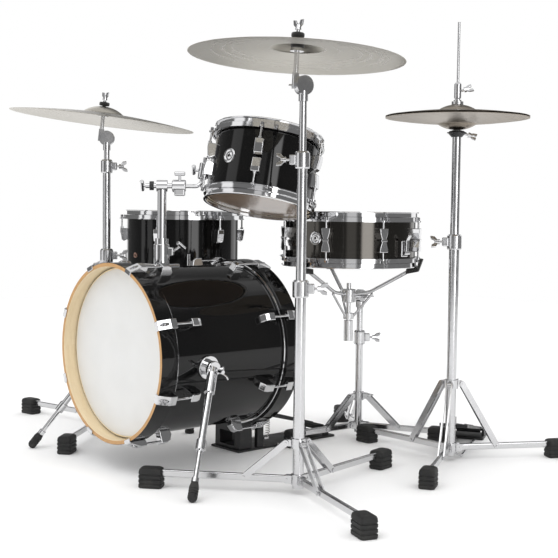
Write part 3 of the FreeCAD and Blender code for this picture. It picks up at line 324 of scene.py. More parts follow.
class Finish:
    """A material being built, with short calls for its nodes."""

    def __init__(self, name, **values):
        self.material = bpy.data.materials.new(name)
        self.material.use_nodes = True
        self.nodes = self.material.node_tree.nodes
        self.links = self.material.node_tree.links
        self.surface = self.nodes["Principled BSDF"]
        for key, value in values.items():
            self.surface.inputs[key.replace("_", " ")].default_value = value

    def node(self, kind, inputs=(), **settings):
        made = self.nodes.new("ShaderNode" + kind)
        for key, value in settings.items():
            setattr(made, key, value)
        for key, value in dict(inputs).items():
            if isinstance(value, bpy.types.NodeSocket):
                self.links.new(value, made.inputs[key])
            else:
                made.inputs[key].default_value = value
        return made

    def math(self, operation, *values):
        return self.node("Math", enumerate(values), operation=operation).outputs[0]

    def coordinates(self):
        return self.node("TexCoord").outputs["Object"]

    def noise(self, vector, scale, detail=2.0, distortion=0.0):
        inputs = {"Vector": vector, "Scale": scale, "Detail": detail, "Distortion": distortion}
        return self.node("TexNoise", inputs).outputs[0]

    def rings(self, radius, scale, detail):
        inputs = {"W": self.math("MULTIPLY", radius, scale), "Scale": 1.0, "Detail": detail}
        return self.node("TexNoise", inputs, noise_dimensions="1D").outputs[0]

    def stretched(self, vector, scale):
        return self.node("Mapping", {"Vector": vector, "Scale": scale}).outputs[0]

    def remap(self, value, low, high, out_low, out_high):
        inputs = {"Value": value, "From Min": low, "From Max": high, "To Min": out_low, "To Max": out_high}
        return self.node("MapRange", inputs).outputs[0]

    def mix(self, factor, one, two):
        made = self.nodes.new("ShaderNodeMix")
        made.data_type = "RGBA"
        for key, value in {0: factor, 6: one, 7: two}.items():
            if isinstance(value, bpy.types.NodeSocket):
                self.links.new(value, made.inputs[key])
            else:
                made.inputs[key].default_value = value
        return made.outputs[2]

    def bump(self, height, strength, distance):
        inputs = {"Height": height, "Strength": strength, "Distance": distance}
        self.put("Normal", self.node("Bump", inputs).outputs[0])

    def put(self, key, socket):
        self.links.new(socket, self.surface.inputs[key])

    def drum_frame(self, centre, axis):
        """Radius, height and angle about a drum's own axis."""
        turn = UP.rotation_difference(Vector(axis)).to_euler()
        inputs = {"Vector": self.coordinates(), "Location": centre, "Rotation": turn}
        local = self.node("Mapping", inputs, vector_type="TEXTURE").outputs[0]
        parts = self.node("SeparateXYZ", {"Vector": local}).outputs
        x, y, z = parts
        squares = self.math("MULTIPLY", x, x), self.math("MULTIPLY", y, y)
        radius = self.math("SQRT", self.math("ADD", *squares))
        return radius, z, self.math("ARCTAN2", y, x)


def rgb(r, g, b):
    return (r, g, b, 1.0)


def chrome(name="chrome", tone=(0.66, 0.66, 0.67), rough=(0.04, 0.11)):
    """Chrome plate with faint handling marks."""
    finish = Finish(name, Metallic=1.0, Base_Color=rgb(*tone))
    where = finish.coordinates()
    smudge = finish.noise(where, 34.0, 4.0)
    finish.put("Roughness", finish.remap(smudge, 0.35, 0.7, *rough))
    finish.bump(finish.noise(where, 420.0, 2.0), 0.015, 0.0005)
    return finish.material


def brushed(name, tone, rough, grain):
    """Steel with a fine directional grain."""
    finish = Finish(name, Metallic=1.0, Base_Color=rgb(*tone))
    lines = finish.noise(finish.stretched(finish.coordinates(), grain), 1.0, 3.0)
    finish.put("Roughness", finish.remap(lines, 0.3, 0.7, rough - 0.07, rough + 0.07))
    finish.bump(lines, 0.04, 0.0004)
    return finish.material


def maple_grain(finish, radius, height, angle):
    """Colour and relief of clear maple veneer whose grain runs round the drum."""
    along = finish.math("MULTIPLY", angle, 0.55)
    across = finish.math("MULTIPLY", height, 26.0)
    depth = finish.math("MULTIPLY", radius, 26.0)
    spot = finish.node("CombineXYZ", {"X": along, "Y": across, "Z": depth}).outputs[0]
    broad = finish.noise(spot, 3.0, 4.0, distortion=0.6)
    fine = finish.noise(finish.stretched(spot, (9.0, 14.0, 14.0)), 4.0, 5.0)
    light = finish.mix(finish.remap(broad, 0.35, 0.65, 0, 1),
                       rgb(0.78, 0.655, 0.45), rgb(0.73, 0.595, 0.385))
    return finish.mix(finish.remap(fine, 0.45, 0.75, 0, 0.35), light, rgb(0.54, 0.39, 0.21)), fine


def wood_and_lacquer(name, centre, axis, inside, ends=None):
    """Gloss black lacquer outside and clear maple inside the given radius.

    A hoop's outer end gets a warm edge."""
    finish = Finish(name, Specular_IOR_Level=0.34)
    radius, height, angle = finish.drum_frame(centre, axis)
    lacquer = finish.math("GREATER_THAN", radius, inside)
    maple, grain = maple_grain(finish, radius, height, angle)
    where = finish.coordinates()
    cloud = finish.remap(finish.noise(where, 7.0, 2.0), 0.3, 0.7, 0, 1)
    black = finish.mix(cloud, rgb(0.0032, 0.0032, 0.0035), rgb(0.0048, 0.0046, 0.0044))
    if ends:
        distance = finish.math("ABSOLUTE", height)
        lacquer = finish.math("MAXIMUM", lacquer, finish.math("LESS_THAN", distance, ends[0] + 0.6 * MM))
        edge = finish.math("GREATER_THAN", distance, ends[1] - 0.6 * MM)
        warm = finish.mix(finish.remap(grain, 0.3, 0.7, 0, 1), rgb(0.55, 0.33, 0.14), rgb(0.38, 0.20, 0.08))
        maple = finish.mix(edge, maple, warm)
    finish.put("Base Color", finish.mix(lacquer, maple, black))
    polish = finish.remap(finish.noise(where, 60.0, 3.0), 0.3, 0.7, 0.03, 0.06)
    satin = finish.remap(grain, 0.3, 0.7, 0.30, 0.42)
    mixed = finish.node("Mix", {0: lacquer, 2: satin, 3: polish}, data_type="FLOAT").outputs[0]
    finish.put("Roughness", mixed)
    finish.bump(finish.noise(where, 260.0, 1.0), 0.012, 0.0006)
    return finish.material


def black_nickel(centre):
    """Dark mirror plate of the snare's metal shell."""
    finish = Finish("black_nickel", Metallic=1.0)
    radius, height, angle = finish.drum_frame(centre, UP)
    across = finish.math("MULTIPLY", height, 900.0)
    spot = finish.node("CombineXYZ", {"X": angle, "Y": across, "Z": radius}).outputs[0]
    lines = finish.noise(spot, 1.5, 3.0)
    finish.put("Base Color", finish.mix(lines, rgb(0.062, 0.058, 0.053), rgb(0.082, 0.077, 0.070)))
    finish.put("Roughness", finish.remap(lines, 0.3, 0.7, 0.07, 0.13))
    finish.bump(lines, 0.02, 0.0003)
    return finish.material


def cymbal_bronze(name, light, dark, rough):
    """Lathed bronze: fine tonal grooves, broad bands and soft hammering, about the piece's own Z."""
    finish = Finish(name, Metallic=1.0, Anisotropic=0.55)
    parts = finish.node("SeparateXYZ", {"Vector": finish.coordinates()}).outputs
    squares = [finish.math("MULTIPLY", part, part) for part in parts[:2]]
    radius = finish.math("SQRT", finish.math("ADD", *squares))
    fine = finish.rings(radius, 1300.0, 2.0)
    bands = finish.rings(radius, 90.0, 3.0)
    patina = finish.noise(finish.coordinates(), 9.0, 5.0)
    tone = finish.math("ADD", finish.math("MULTIPLY", bands, 0.6), finish.math("MULTIPLY", patina, 0.4))
    base = finish.mix(finish.remap(tone, 0.35, 0.65, 0, 1), rgb(*dark), rgb(*light))
    shade = finish.remap(fine, 0.3, 0.7, 0.0, 0.35)
    finish.put("Base Color", finish.mix(shade, base, rgb(*[c * 0.6 for c in dark])))
    finish.put("Roughness", finish.remap(tone, 0.3, 0.7, rough - 0.06, rough + 0.08))
    hammer = finish.noise(finish.coordinates(), 62.0, 1.0)
    relief = finish.math("ADD", finish.math("MULTIPLY", fine, 0.25), hammer)
    finish.bump(relief, 0.22, 0.0008)
    tangent = finish.node("Tangent", direction_type="RADIAL", axis="Z").outputs[0]
    finish.put("Tangent", tangent)
    return finish.material


def head_film(name, tone, second, rough, grain):
    """Drum head film, plain or with a sprayed coating."""
    finish = Finish(name, IOR=1.5, Subsurface_Weight=0.06)
    where = finish.coordinates()
    cloud = finish.noise(where, 11.0, 3.0)
    spray = finish.noise(where, 900.0, 3.0)
    finish.put("Base Color", finish.mix(finish.remap(cloud, 0.35, 0.65, 0, 1), rgb(*tone), rgb(*second)))
    finish.put("Roughness", finish.remap(spray, 0.3, 0.7, rough - 0.05, rough + 0.05))
    finish.bump(spray, grain, 0.0003)
    return finish.material


def rubber():
    """Moulded black rubber, a little dusty."""
    finish = Finish("rubber", Specular_IOR_Level=0.35)
    where = finish.coordinates()
    dust = finish.noise(where, 42.0, 5.0)
    finish.put("Base Color", finish.mix(finish.remap(dust, 0.45, 0.75, 0, 1), rgb(0.016, 0.016, 0.016),
                                        rgb(0.038, 0.037, 0.035)))
    finish.put("Roughness", finish.remap(dust, 0.3, 0.7, 0.58, 0.80))
    finish.bump(finish.noise(where, 1400.0, 2.0), 0.10, 0.0004)
    return finish.material


def felt(name, one, two):
    """Pressed wool felt."""
    finish = Finish(name, Sheen_Weight=0.35, Sheen_Roughness=0.5, Specular_IOR_Level=0.15, Roughness=0.95)
    where = finish.coordinates()
    fibres = finish.noise(finish.stretched(where, (1.0, 1.0, 2.2)), 1500.0, 6.0, distortion=1.2)
    finish.put("Base Color", finish.mix(finish.remap(fibres, 0.3, 0.7, 0, 1), rgb(*one), rgb(*two)))
    finish.bump(fibres, 0.55, 0.0009)
    return finish.material


def powder_coat():
    """Satin black powder coat on cast metal."""
    finish = Finish("black_metal", Specular_IOR_Level=0.5)
    where = finish.coordinates()
    wear = finish.noise(where, 30.0, 6.0)
    finish.put("Base Color", finish.mix(finish.remap(wear, 0.5, 0.8, 0, 1), rgb(0.013, 0.013, 0.014),
                                        rgb(0.032, 0.031, 0.030)))
    finish.put("Roughness", finish.remap(wear, 0.3, 0.7, 0.34, 0.50))
    finish.bump(finish.noise(where, 1100.0, 2.0), 0.10, 0.0004)
    return finish.material


def plastic(name, tone):
    """Moulded nylon."""
    finish = Finish(name)
    where = finish.coordinates()
    flow = finish.noise(where, 90.0, 3.0)
    finish.put("Base Color", finish.mix(flow, rgb(*tone), rgb(*[c * 1.7 for c in tone])))
    finish.put("Roughness", finish.remap(flow, 0.3, 0.7, 0.38, 0.52))
    finish.bump(finish.noise(where, 1600.0, 1.0), 0.06, 0.0003)
    return finish.material


def floor_paint():
    """Pale seamless studio floor."""
    finish = Finish("studio_floor", Roughness=0.9, Specular_IOR_Level=0.1)
    tone = finish.noise(finish.coordinates(), 3.0, 2.0)
    finish.put("Base Color", finish.mix(tone, rgb(0.93, 0.93, 0.93), rgb(0.95, 0.95, 0.95)))
    return finish.material


CHROME = chrome()
STAND_CHROME = chrome("stand_chrome", (0.60, 0.60, 0.61), (0.14, 0.24))
STEEL = brushed("steel", (0.50, 0.49, 0.48), 0.28, (300.0, 300.0, 300.0))
COPPER = brushed("copper", (0.80, 0.50, 0.40), 0.24, (260.0, 260.0, 900.0))
RUBBER = rubber()
BLACK_FELT = felt("black_felt", (0.010, 0.010, 0.010), (0.032, 0.031, 0.030))
GREY_FELT = felt("grey_felt", (0.22, 0.21, 0.20), (0.36, 0.35, 0.33))
BLACK_METAL = powder_coat()
NYLON = plastic("black_nylon", (0.012, 0.012, 0.013))
WHITE_FILM = head_film("white_film", (0.655, 0.645, 0.63), (0.685, 0.675, 0.66), 0.34, 0.03)
COATED_FILM = head_film("coated_film", (0.71, 0.705, 0.68), (0.75, 0.745, 0.72), 0.58, 0.30)
AMBER_FILM = head_film("amber_film", (0.235, 0.165, 0.118), (0.265, 0.190, 0.140), 0.12, 0.02)
CYMBAL = cymbal_bronze("cymbal_bronze", (0.50, 0.475, 0.42), (0.36, 0.335, 0.29), 0.30)
HIHAT_BRONZE = cymbal_bronze("hihat_bronze", (0.37, 0.325, 0.27), (0.24, 0.205, 0.165), 0.34)

FINISHES = {"chrome": (CHROME, "chrome"), "stand": (STAND_CHROME, "chrome"), "rubber": (RUBBER, "rubber"),
            "felt": (BLACK_FELT, "felt"), "grey_felt": (GREY_FELT, "felt"), "nylon": (NYLON, "rubber"),
            "black": (BLACK_METAL, "black_metal"), "steel": (STEEL, "chrome"), "copper": (COPPER, "chrome"),
            "cymbal": (CYMBAL, "bronze"), "hihat": (HIHAT_BRONZE, "bronze")}


def paint(node, material):
    """Gives a CAD node its finish."""
    NODES[node].data.materials.clear()
    NODES[node].data.materials.append(material)


# ---------------------------------------------------------------- drums

def level_across(axis):
    """A level direction at right angles to an axis."""
    flat = Vector((-axis[1], axis[0], 0))
    return flat.normalized() if flat.length > WELD else Vector((1, 0, 0))


def drum_head(name, radius, edge, place, film, body, node):
    """Head film with a rounded collar over the bearing edge."""
    mesh = bmesh.new()
    collar = arc((radius - 7 * MM, edge + 0.9 * MM), (radius - 0.9 * MM, edge - 1.6 * MM),
                 (radius + 1.4 * MM, edge - 8 * MM), 8)
    flat = [(radius * k / 8, edge + 0.9 * MM) for k in range(8)]
    under = [(r - 0.5 * MM, z - 0.5 * MM) for r, z in reversed(collar)]
    skirt = [(radius + 1.4 * MM, edge - 13 * MM), (radius + 0.9 * MM, edge - 13 * MM)]
    lathe(mesh, flat + collar + skirt + under + [(0, edge + 0.4 * MM)], 160)
    return from_bmesh(name, mesh, film, body, "drum_head", place, replaces=(node,))


def drum_depth(node, axis, radius):
    """Depth of a cylinder from its box, whatever its lean."""
    low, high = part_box(node)
    rise = abs(Vector(axis).z)
    if rise < WELD:
        return (high - low).y
    return ((high - low).z - 2 * radius * math.sqrt(max(0.0, 1 - rise * rise))) / rise


def drums():
    """Shells, hoops, heads and fittings of the four drums."""
    specs = (("bass", BASS, FRONT, BASS_RADIUS, WHITE_FILM, COATED_FILM),
             ("tom", TOM, TOM_AXIS, TOM_RADIUS, COATED_FILM, AMBER_FILM),
             ("floor_tom", FLOOR_TOM, UP, FLOOR_TOM_RADIUS, COATED_FILM, AMBER_FILM),
             ("snare", SNARE, UP, SNARE_RADIUS, COATED_FILM, WHITE_FILM))
    for name, centre, axis, radius, first, second in specs:
        if name == "snare":
            paint("snare_shell", black_nickel(SNARE))
        else:
            paint(name + "_shell", wood_and_lacquer(name + "_lacquer", centre, axis, radius - 0.6 * MM))
        node = name + "_heads"
        across = np.array(level_across(axis))
        flesh = [(points, members) for points, members in solids(node)
                 if np.ptp(points @ across) > 2 * (radius + 4 * MM)]
        copy_solids(node, flesh, node + "_flesh_hoops", "chrome")
        depth = drum_depth(name + "_shell", axis, radius)
        for end, flip, film in (("_upper_film", 0, first), ("_lower_film", 180, second)):
            place = facing(centre, axis) @ Matrix.Rotation(math.radians(flip), 4, "X")
            drum_head(name + end, radius, depth / 2, place, film, BODY_OF[node], node)
    low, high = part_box("bass_front_hoop")
    ends = (BASS.y - high.y, BASS.y - low.y)
    hoop = wood_and_lacquer("hoop_lacquer", BASS, FRONT, BASS_RADIUS + 11.9 * MM, ends)
    for node in ("bass_front_hoop", "bass_rear_hoop"):
        paint(node, hoop)
    for node in ("tom_hoops", "floor_tom_hoops", "snare_hoops", "bass_tension_hardware", "bass_brackets",
                 "tom_lugs", "snare_strainer_lever", "tom_arm"):
        paint(node, CHROME)
    regroup("floor_tom_lugs", lambda p: "copper" if 13 * MM < size_of(p).max() < 17 * MM else "chrome")
    regroup("tom_post", lambda p: "nylon" if size_of(p).max() < 25 * MM else "chrome")


def badge(name, centre, axis, radius, azimuth, body):
    """Plain round vent badge with a grommet, on a shell."""
    outward = polar(1, azimuth)
    outward = (outward - axis * outward.dot(axis)).normalized()
    mesh = bmesh.new()
    lathe(mesh, [(r * MM, z * MM) for r, z in ((3.4, -1.5), (3.4, 2.2), (4.2, 2.9), (5.4, 2.9), (6.2, 2.1),
                                               (8.4, 1.6), (12.6, 1.5), (13.6, 2.2), (15.6, 2.0),
                                               (17.2, 1.2), (17.8, -2.0))], 64)
    from_bmesh(name, mesh, CHROME, body, "chrome", facing(centre + outward * radius, outward))


def snare_wires():
    """Coiled snare strands on the lower head, and their end bars."""
    left_out = regroup("snare_lugs", lambda p: None if size_of(p)[2] < 2 * MM and size_of(p).max() > 0.12
                       else "steel" if size_of(p)[2] < 2 * MM else "chrome")
    middle_z = float(np.mean([points[:, 2].mean() for points in left_out]))
    along = Vector(polar(1, STRAINER_AZIMUTH))
    across = Vector(polar(1, STRAINER_AZIMUTH + 90))
    mesh = bmesh.new()
    strands, spacing, half, pitch, coil, wire = 18, 2.1 * MM, 0.119, 2.6 * MM, 0.55 * MM, 0.25 * MM
    coil_steps = 6
    for strand in range(strands):
        side = (strand - (strands - 1) / 2) * spacing
        steps = int(2 * half / pitch * coil_steps)
        path = []
        for k in range(steps + 1):
            turn = 2 * math.pi * k / coil_steps
            base = Vector((SNARE.x, SNARE.y, middle_z)) + along * (-half + 2 * half * k / steps)
            path.append(base + across * (side + coil * math.cos(turn)) + UP * (coil * math.sin(turn)))
        sweep(mesh, path, wire, 4)
    from_bmesh("snare_wires", mesh, STEEL, BODY_OF["snare_lugs"], "chrome", replaces=("snare_lugs",))


# ---------------------------------------------------------------- rubber and felt

def rounded_ring(half_x, half_y, corner, steps=6):
    """Points round a rectangle with round corners."""
    points = []
    for index, (sx, sy) in enumerate(((1, 1), (-1, 1), (-1, -1), (1, -1))):
        for k in range(steps + 1):
            turn = math.radians(90 * index + 90 * k / steps)
            points.append((sx * (half_x - corner) + corner * math.cos(turn),
                           sy * (half_y - corner) + corner * math.sin(turn)))
    return points


def foot_block(name, centre, azimuth, length, width, height, body, node):
    """Moulded rubber foot with grip grooves and a soft top."""
    levels = ((0, 2.6), (1.2, 0.7), (3, 0), (9, 0), (10, 1.5), (12, 1.5), (13, 0), (19, 0), (20, 1.5),
              (22, 1.5), (23, 0), (29, 0), (30, 1.5), (32, 1.5), (33, 0.1), (40, 0.8), (43.5, 2.2), (46, 6))
    mesh = bmesh.new()
    rings = []
    for z, inset in levels:
        outline = rounded_ring(length / 2 - inset * MM, width / 2 - inset * MM, 7 * MM)
        rings.append([mesh.verts.new((x, y, z / 46 * height)) for x, y in outline])
    for one, two in zip(rings, rings[1:]):
        for k in range(len(one)):
            mesh.faces.new((one[k], one[(k + 1) % len(one)], two[(k + 1) % len(one)], two[k]))
    mesh.faces.new(rings[0])
    mesh.faces.new(rings[-1])
    place = Matrix.Translation((centre.x, centre.y, 0)) @ Matrix.Rotation(azimuth, 4, "Z")
    return from_bmesh(name, mesh, RUBBER, body, "rubber", place, 30, (node,))


def on_floor(points):
    """True for a solid that stands on the floor."""
    return points[:, 2].min() < 0.5 * MM


def tripod_feet(stand, nodes, rest):
    """Rubber feet of a tripod, and its metal in the stand's finish."""
    feet = []
    for node in nodes:
        for points in regroup(node, lambda p: None if on_floor(p) else rest):
            feet.append((node, points))
    hub = sum((Vector(points.mean(0)) for _, points in feet), Vector()) / len(feet)
    for index, (node, points) in enumerate(feet, 1):
        centre = Vector((points.max(0) + points.min(0)) / 2)
        away = centre - hub
        foot_block("%s_foot_%d" % (stand, index), centre, math.atan2(away.y, away.x), 54 * MM, 38 * MM,
                   float(size_of(points)[2]), BODY_OF[node], node)


def spurs():
    """Chromed telescopic spurs with ribbed rubber tips."""
    for node, side in (("spur_left", -1), ("spur_right", 1)):
        foot = kit(side * SPUR_FOOT.x, SPUR_FOOT.y, SPUR_FOOT.z)
        along = (foot - kit(side * SPUR_KNEE.x, SPUR_KNEE.y, SPUR_KNEE.z)).normalized()
        split(node, lambda centre: None if (centre - foot).dot(along) > -33.9 * MM else "chrome")
        outline = [(0, -34), (6.6, -34), (8.3, -33.2), (SPUR_TIP - 0.3, -24), (SPUR_TIP, -21)]
        for start in (-19, -13, -7):
            outline += [(SPUR_TIP, start), (SPUR_TIP - 1.3, start + 0.7), (SPUR_TIP - 1.3, start + 2.3),
                        (SPUR_TIP, start + 3)]
        outline += [(SPUR_TIP * math.cos(t), SPUR_TIP * math.sin(t)) for t in np.linspace(0, 1.45, 10)]
        mesh = bmesh.new()
        lathe(mesh, [(r * MM, z * MM) for r, z in outline] + [(0, SPUR_TIP * MM)], 48)
        from_bmesh(node + "_tip", mesh, RUBBER, BODY_OF[node], "rubber", facing(foot, along), 30, (node,))


def floor_tom_feet():
    """Floor tom legs with domed rubber cups."""
    split("floor_tom_legs", lambda centre: None if centre.z < FLOOR_TOM_CUP else "chrome")
    profile = ((0, 0), (10, 0), (12.4, 1), (13, 3), (13, 9), (12, 10), (12, 12), (13, 13), (13, 19),
               (12, 20), (12, 22), (13, 23), (13, 29), (12, 33), (9.6, 37.4), (7, 38), (0, 38))
    for azimuth in (-31, 89, 209):
        spot = FLOOR_TOM + polar(FLOOR_TOM_RADIUS + 74 * MM, azimuth)
        mesh = bmesh.new()
        lathe(mesh, [(r * MM, z * MM) for r, z in profile], 48)
        place = Matrix.Translation((spot.x, spot.y, 0))
        from_bmesh("floor_tom_foot_%d" % azimuth, mesh, RUBBER, BODY_OF["floor_tom_legs"], "rubber",
                   place, 30, ("floor_tom_legs",))


def felt_ring(name, outline, place, material, body, node, seed):
    """Felt washer with a slightly uneven surface."""
    mesh = bmesh.new()
    lathe(mesh, [(r * MM, z * MM) for r, z in outline], 72)
    for vert in mesh.verts:
        spot = vert.co * 260 + Vector((seed, 0, 0))
        vert.co.z += noise.noise(spot) * 0.25 * MM
        flat = Vector((vert.co.x, vert.co.y, 0))
        vert.co += flat.normalized() * noise.noise(spot + Vector((0, 9, 0))) * 0.3 * MM
    from_bmesh(name, mesh, material, body, "felt", place, 50, (node,))


# ---------------------------------------------------------------- cymbals

def cymbal(name, radius, bell, bell_rise, bow_rise, place, finish, body, node):
    """Thin spun cymbal: bell, bow and a rounded rim, hammered a little uneven."""
    lip = (CYMBAL_HOLE, 0.0)
    cheek, root = (bell * 0.66, -bell_rise * 0.36), (bell, -bell_rise)
    brow = ((radius + bell) / 2, -bell_rise - bow_rise * 0.40)
    rim = (radius - 0.5 * MM, -bell_rise - bow_rise)
    under = arc(lip, cheek, root, 14)[:-1] + arc(root, brow, rim, 34)
    sheet = [CYMBAL_SHEET * (0.95 - 0.35 * k / len(under)) for k in range(len(under))]
    over = [(r, z + thick) for (r, z), thick in zip(under, sheet)]
    edge = (radius, (under[-1][1] + over[-1][1]) / 2)
    mesh = bmesh.new()
    lathe(mesh, under + [edge] + over[::-1], 240)
    for vert in mesh.verts:
        spot = Vector((vert.co.x, vert.co.y, 0))
        share = min(1.0, spot.length / radius)
        vert.co.z += noise.noise(spot * 38) * 0.18 * MM * share
    material, slot = FINISHES[finish]
    return from_bmesh(name, mesh, material, body, slot, place, 60, (node,))


def seat_frame(name):
    """Seat point of a crash or ride cymbal and its upward direction."""
    lean, azimuth = CYMBAL_LEAN[name]
    upward = polar(math.sin(math.radians(lean)), azimuth, math.cos(math.radians(lean)))
    return Vector(JOINTS[name + "_cymbal_rock"]["pos_m"]) + upward * SEAT_DROP, upward


def cymbal_stands():
    """Ride and crash: cymbal, felts, sleeve and stand."""
    dome = ((5.2, -18.6), (11.6, -18.6), (14.4, -17.2), (15.1, -14), (14.2, -9.4), (12.2, -5.4), (9.6, -2.8),
            (7.2, -1.3), (5.2, -1.0))
    washer = ((5.2, 3.9), (12.4, 3.9), (14.2, 5.4), (14.5, 8.8), (14.1, 12.2), (12.6, 13.9), (5.2, 14))
    for name in ("ride", "crash"):
        seat, upward = seat_frame(name)
        node = name + "_tilter"

        def sort(points):
            low, high, reach = about(points, seat, upward)
            if 13 * MM < reach < 16 * MM and low > -20 * MM and high < 15 * MM:
                return None
            return "nylon" if reach < 6 * MM and high < 18 * MM and low > -26 * MM else "stand"

        regroup(node, sort)
        place = facing(seat, upward)
        felt_ring(name + "_seat_felt", dome, place, BLACK_FELT, BODY_OF[node], node, 3)
        felt_ring(name + "_top_felt", washer, place, BLACK_FELT, BODY_OF[node], node, 7)
        cymbal(name + "_bronze", CYMBAL_RADIUS[name], 58 * MM, 20 * MM, 20 * MM, place, "cymbal",
               BODY_OF[name + "_cymbal"], name + "_cymbal")
        tripod_feet(name, [name + "_base"], "stand")
        paint(name + "_middle_tube", STAND_CHROME)
        paint(name + "_top_tube", STAND_CHROME)


def hihat():
    """Hi-hat: cymbals, clutch felts, seat, tripod and pedal."""
    low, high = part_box("hihat_top_cymbal")
    radius, bell, bell_rise, bow_rise = (high.x - low.x) / 2, 50 * MM, 15 * MM, 13 * MM
    axis = (low + high) / 2
    hole = Vector((axis.x, axis.y, high.z - CYMBAL_SHEET))
    cymbal("hihat_top_bronze", radius, bell, bell_rise, bow_rise, Matrix.Translation(hole), "hihat",
           BODY_OF["hihat_top_cymbal"], "hihat_top_cymbal")
    under = Vector((axis.x, axis.y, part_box("hihat_bottom_cymbal")[0].z + CYMBAL_SHEET))
    flip = Matrix.Translation(under) @ Matrix.Rotation(math.pi, 4, "X")
    cymbal("hihat_bottom_bronze", radius, bell, bell_rise, bow_rise, flip, "hihat",
           BODY_OF["hihat_bottom_cymbal"], "hihat_bottom_cymbal")

    def sort_rod(points):
        start, end, reach = about(points, hole, UP)
        felts = 12 * MM < reach < 16 * MM and start > -9 * MM and end < 10 * MM
        return "felt" if felts else "stand"

    def sort_tube(points):
        tall = size_of(points)[2]
        return "felt" if tall < 10 * MM else "nylon" if tall < 15 * MM else "stand"

    regroup("hihat_pull_rod", sort_rod)
    regroup("hihat_upper_tube", sort_tube)
    regroup("hihat_base", lambda p: "black" if on_floor(p) else "stand")
    tripod_feet("hihat", ["hihat_leg_%d" % k for k in (1, 2, 3)], "stand")
    for node in ["hihat_collar"] + ["hihat_brace_%d" % k for k in (1, 2, 3)]:
        paint(node, STAND_CHROME)
    paint("hihat_footboard", BLACK_METAL)


def snare_stand():
    """Snare stand: tripod, tubes and basket with rubber grips."""
    tripod_feet("snare_stand", ["snare_stand_leg_%d" % k for k in (1, 2, 3)], "stand")
    for node in ["snare_stand_collar", "snare_stand_base", "snare_stand_upper_tube"]:
        paint(node, STAND_CHROME)
    for k in (1, 2, 3):
        paint("snare_stand_brace_%d" % k, STAND_CHROME)
    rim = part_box("snare_hoops")[0].z

    def sort(centre):
        reach = (centre - SNARE).xy.length
        gripping = reach > SNARE_RADIUS - 21 * MM and centre.z > rim - 19.3 * MM
        return "rubber" if gripping else "stand"

    split("snare_basket", sort)


# ---------------------------------------------------------------- bass drum pedal

def link_plate(mesh, x, low, high, half, thick):
    """Adds one chain side plate: a flat oval across X."""
    outline = []
    for centre, start in ((high, 0), (low, 180)):
        for k in range(9):
            turn = math.radians(start + 180 * k / 8)
            outline.append((half * math.cos(turn), centre + half * math.sin(turn)))
    near = [mesh.verts.new(kit(x - thick / 2, CHAIN_Y + y, z)) for y, z in outline]
    far = [mesh.verts.new(kit(x + thick / 2, CHAIN_Y + y, z)) for y, z in outline]
    mesh.faces.new(near)
    mesh.faces.new(far)
    for k in range(len(near)):
        after = (k + 1) % len(near)
        mesh.faces.new((near[k], near[after], far[after], far[k]))


def drive_chain(bottom, top):
    """Roller chain between the footboard and the cam."""
    mesh = bmesh.new()
    count = 9
    pitch = (top - bottom) / count
    for k in range(count):
        wide = 4.4 if k % 2 else 3.0
        low, high = bottom + pitch * k, bottom + pitch * (k + 1)
        for side in (-1, 1):
            link_plate(mesh, PEDAL_X + side * wide, low, high, 3.0, 1.0)
    for k in range(count + 1):
        spot = kit(PEDAL_X, CHAIN_Y, bottom + pitch * k)
        place = facing(spot, (1, 0, 0))
        lathe(mesh, [(0, -5.4 * MM), (1.3 * MM, -5.4 * MM), (1.3 * MM, -2.4 * MM), (2.6 * MM, -2.2 * MM),
                     (2.6 * MM, 2.2 * MM), (1.3 * MM, 2.4 * MM), (1.3 * MM, 5.4 * MM), (0, 5.4 * MM)],
              16, place)
    from_bmesh("pedal_chain", mesh, STEEL, "pedal_footboard", "chrome", sharp=35,
               replaces=("pedal_footboard",))


def beater_head():
    """Felt beater with a nylon back plate, on its stem."""
    turn = math.radians(BEATER_REST)
    back = Vector((0, math.sin(turn), math.cos(turn)))
    forward = Vector((0, -math.cos(turn), math.sin(turn)))
    centre = kit(PEDAL_X, *SHAFT) + back * 128 * MM

    def sort(spot):
        offset = spot - centre
        along = offset.dot(forward)
        away = (offset - forward * along).length
        beside = (offset - back * offset.dot(back)).length
        return None if away < 24.5 * MM and -6.5 * MM < along < 51.5 * MM and beside > 3.6 * MM else "chrome"

    split("pedal_beater", sort)
    place = facing(centre, forward)
    outline = [(0, -1), (21, -1), (23.2, 1), (23.8, 6), (23.8, 35)]
    outline += arc((23.8, 35), (22.0, 46.5), (15, 50.4), 8)[1:] + [(0, 51)]
    felt_ring("beater_felt", outline, place, GREY_FELT, "pedal_beater", "pedal_beater", 5)
    mesh = bmesh.new()
    plate = ((0, -6), (16, -6), (21, -4.6), (22.4, -2.8), (21.8, -1.2), (0, -1.2))
    lathe(mesh, [(r * MM, z * MM) for r, z in plate], 64)
    from_bmesh("beater_back", mesh, NYLON, "pedal_beater", "rubber", place, 30, ("pedal_beater",))


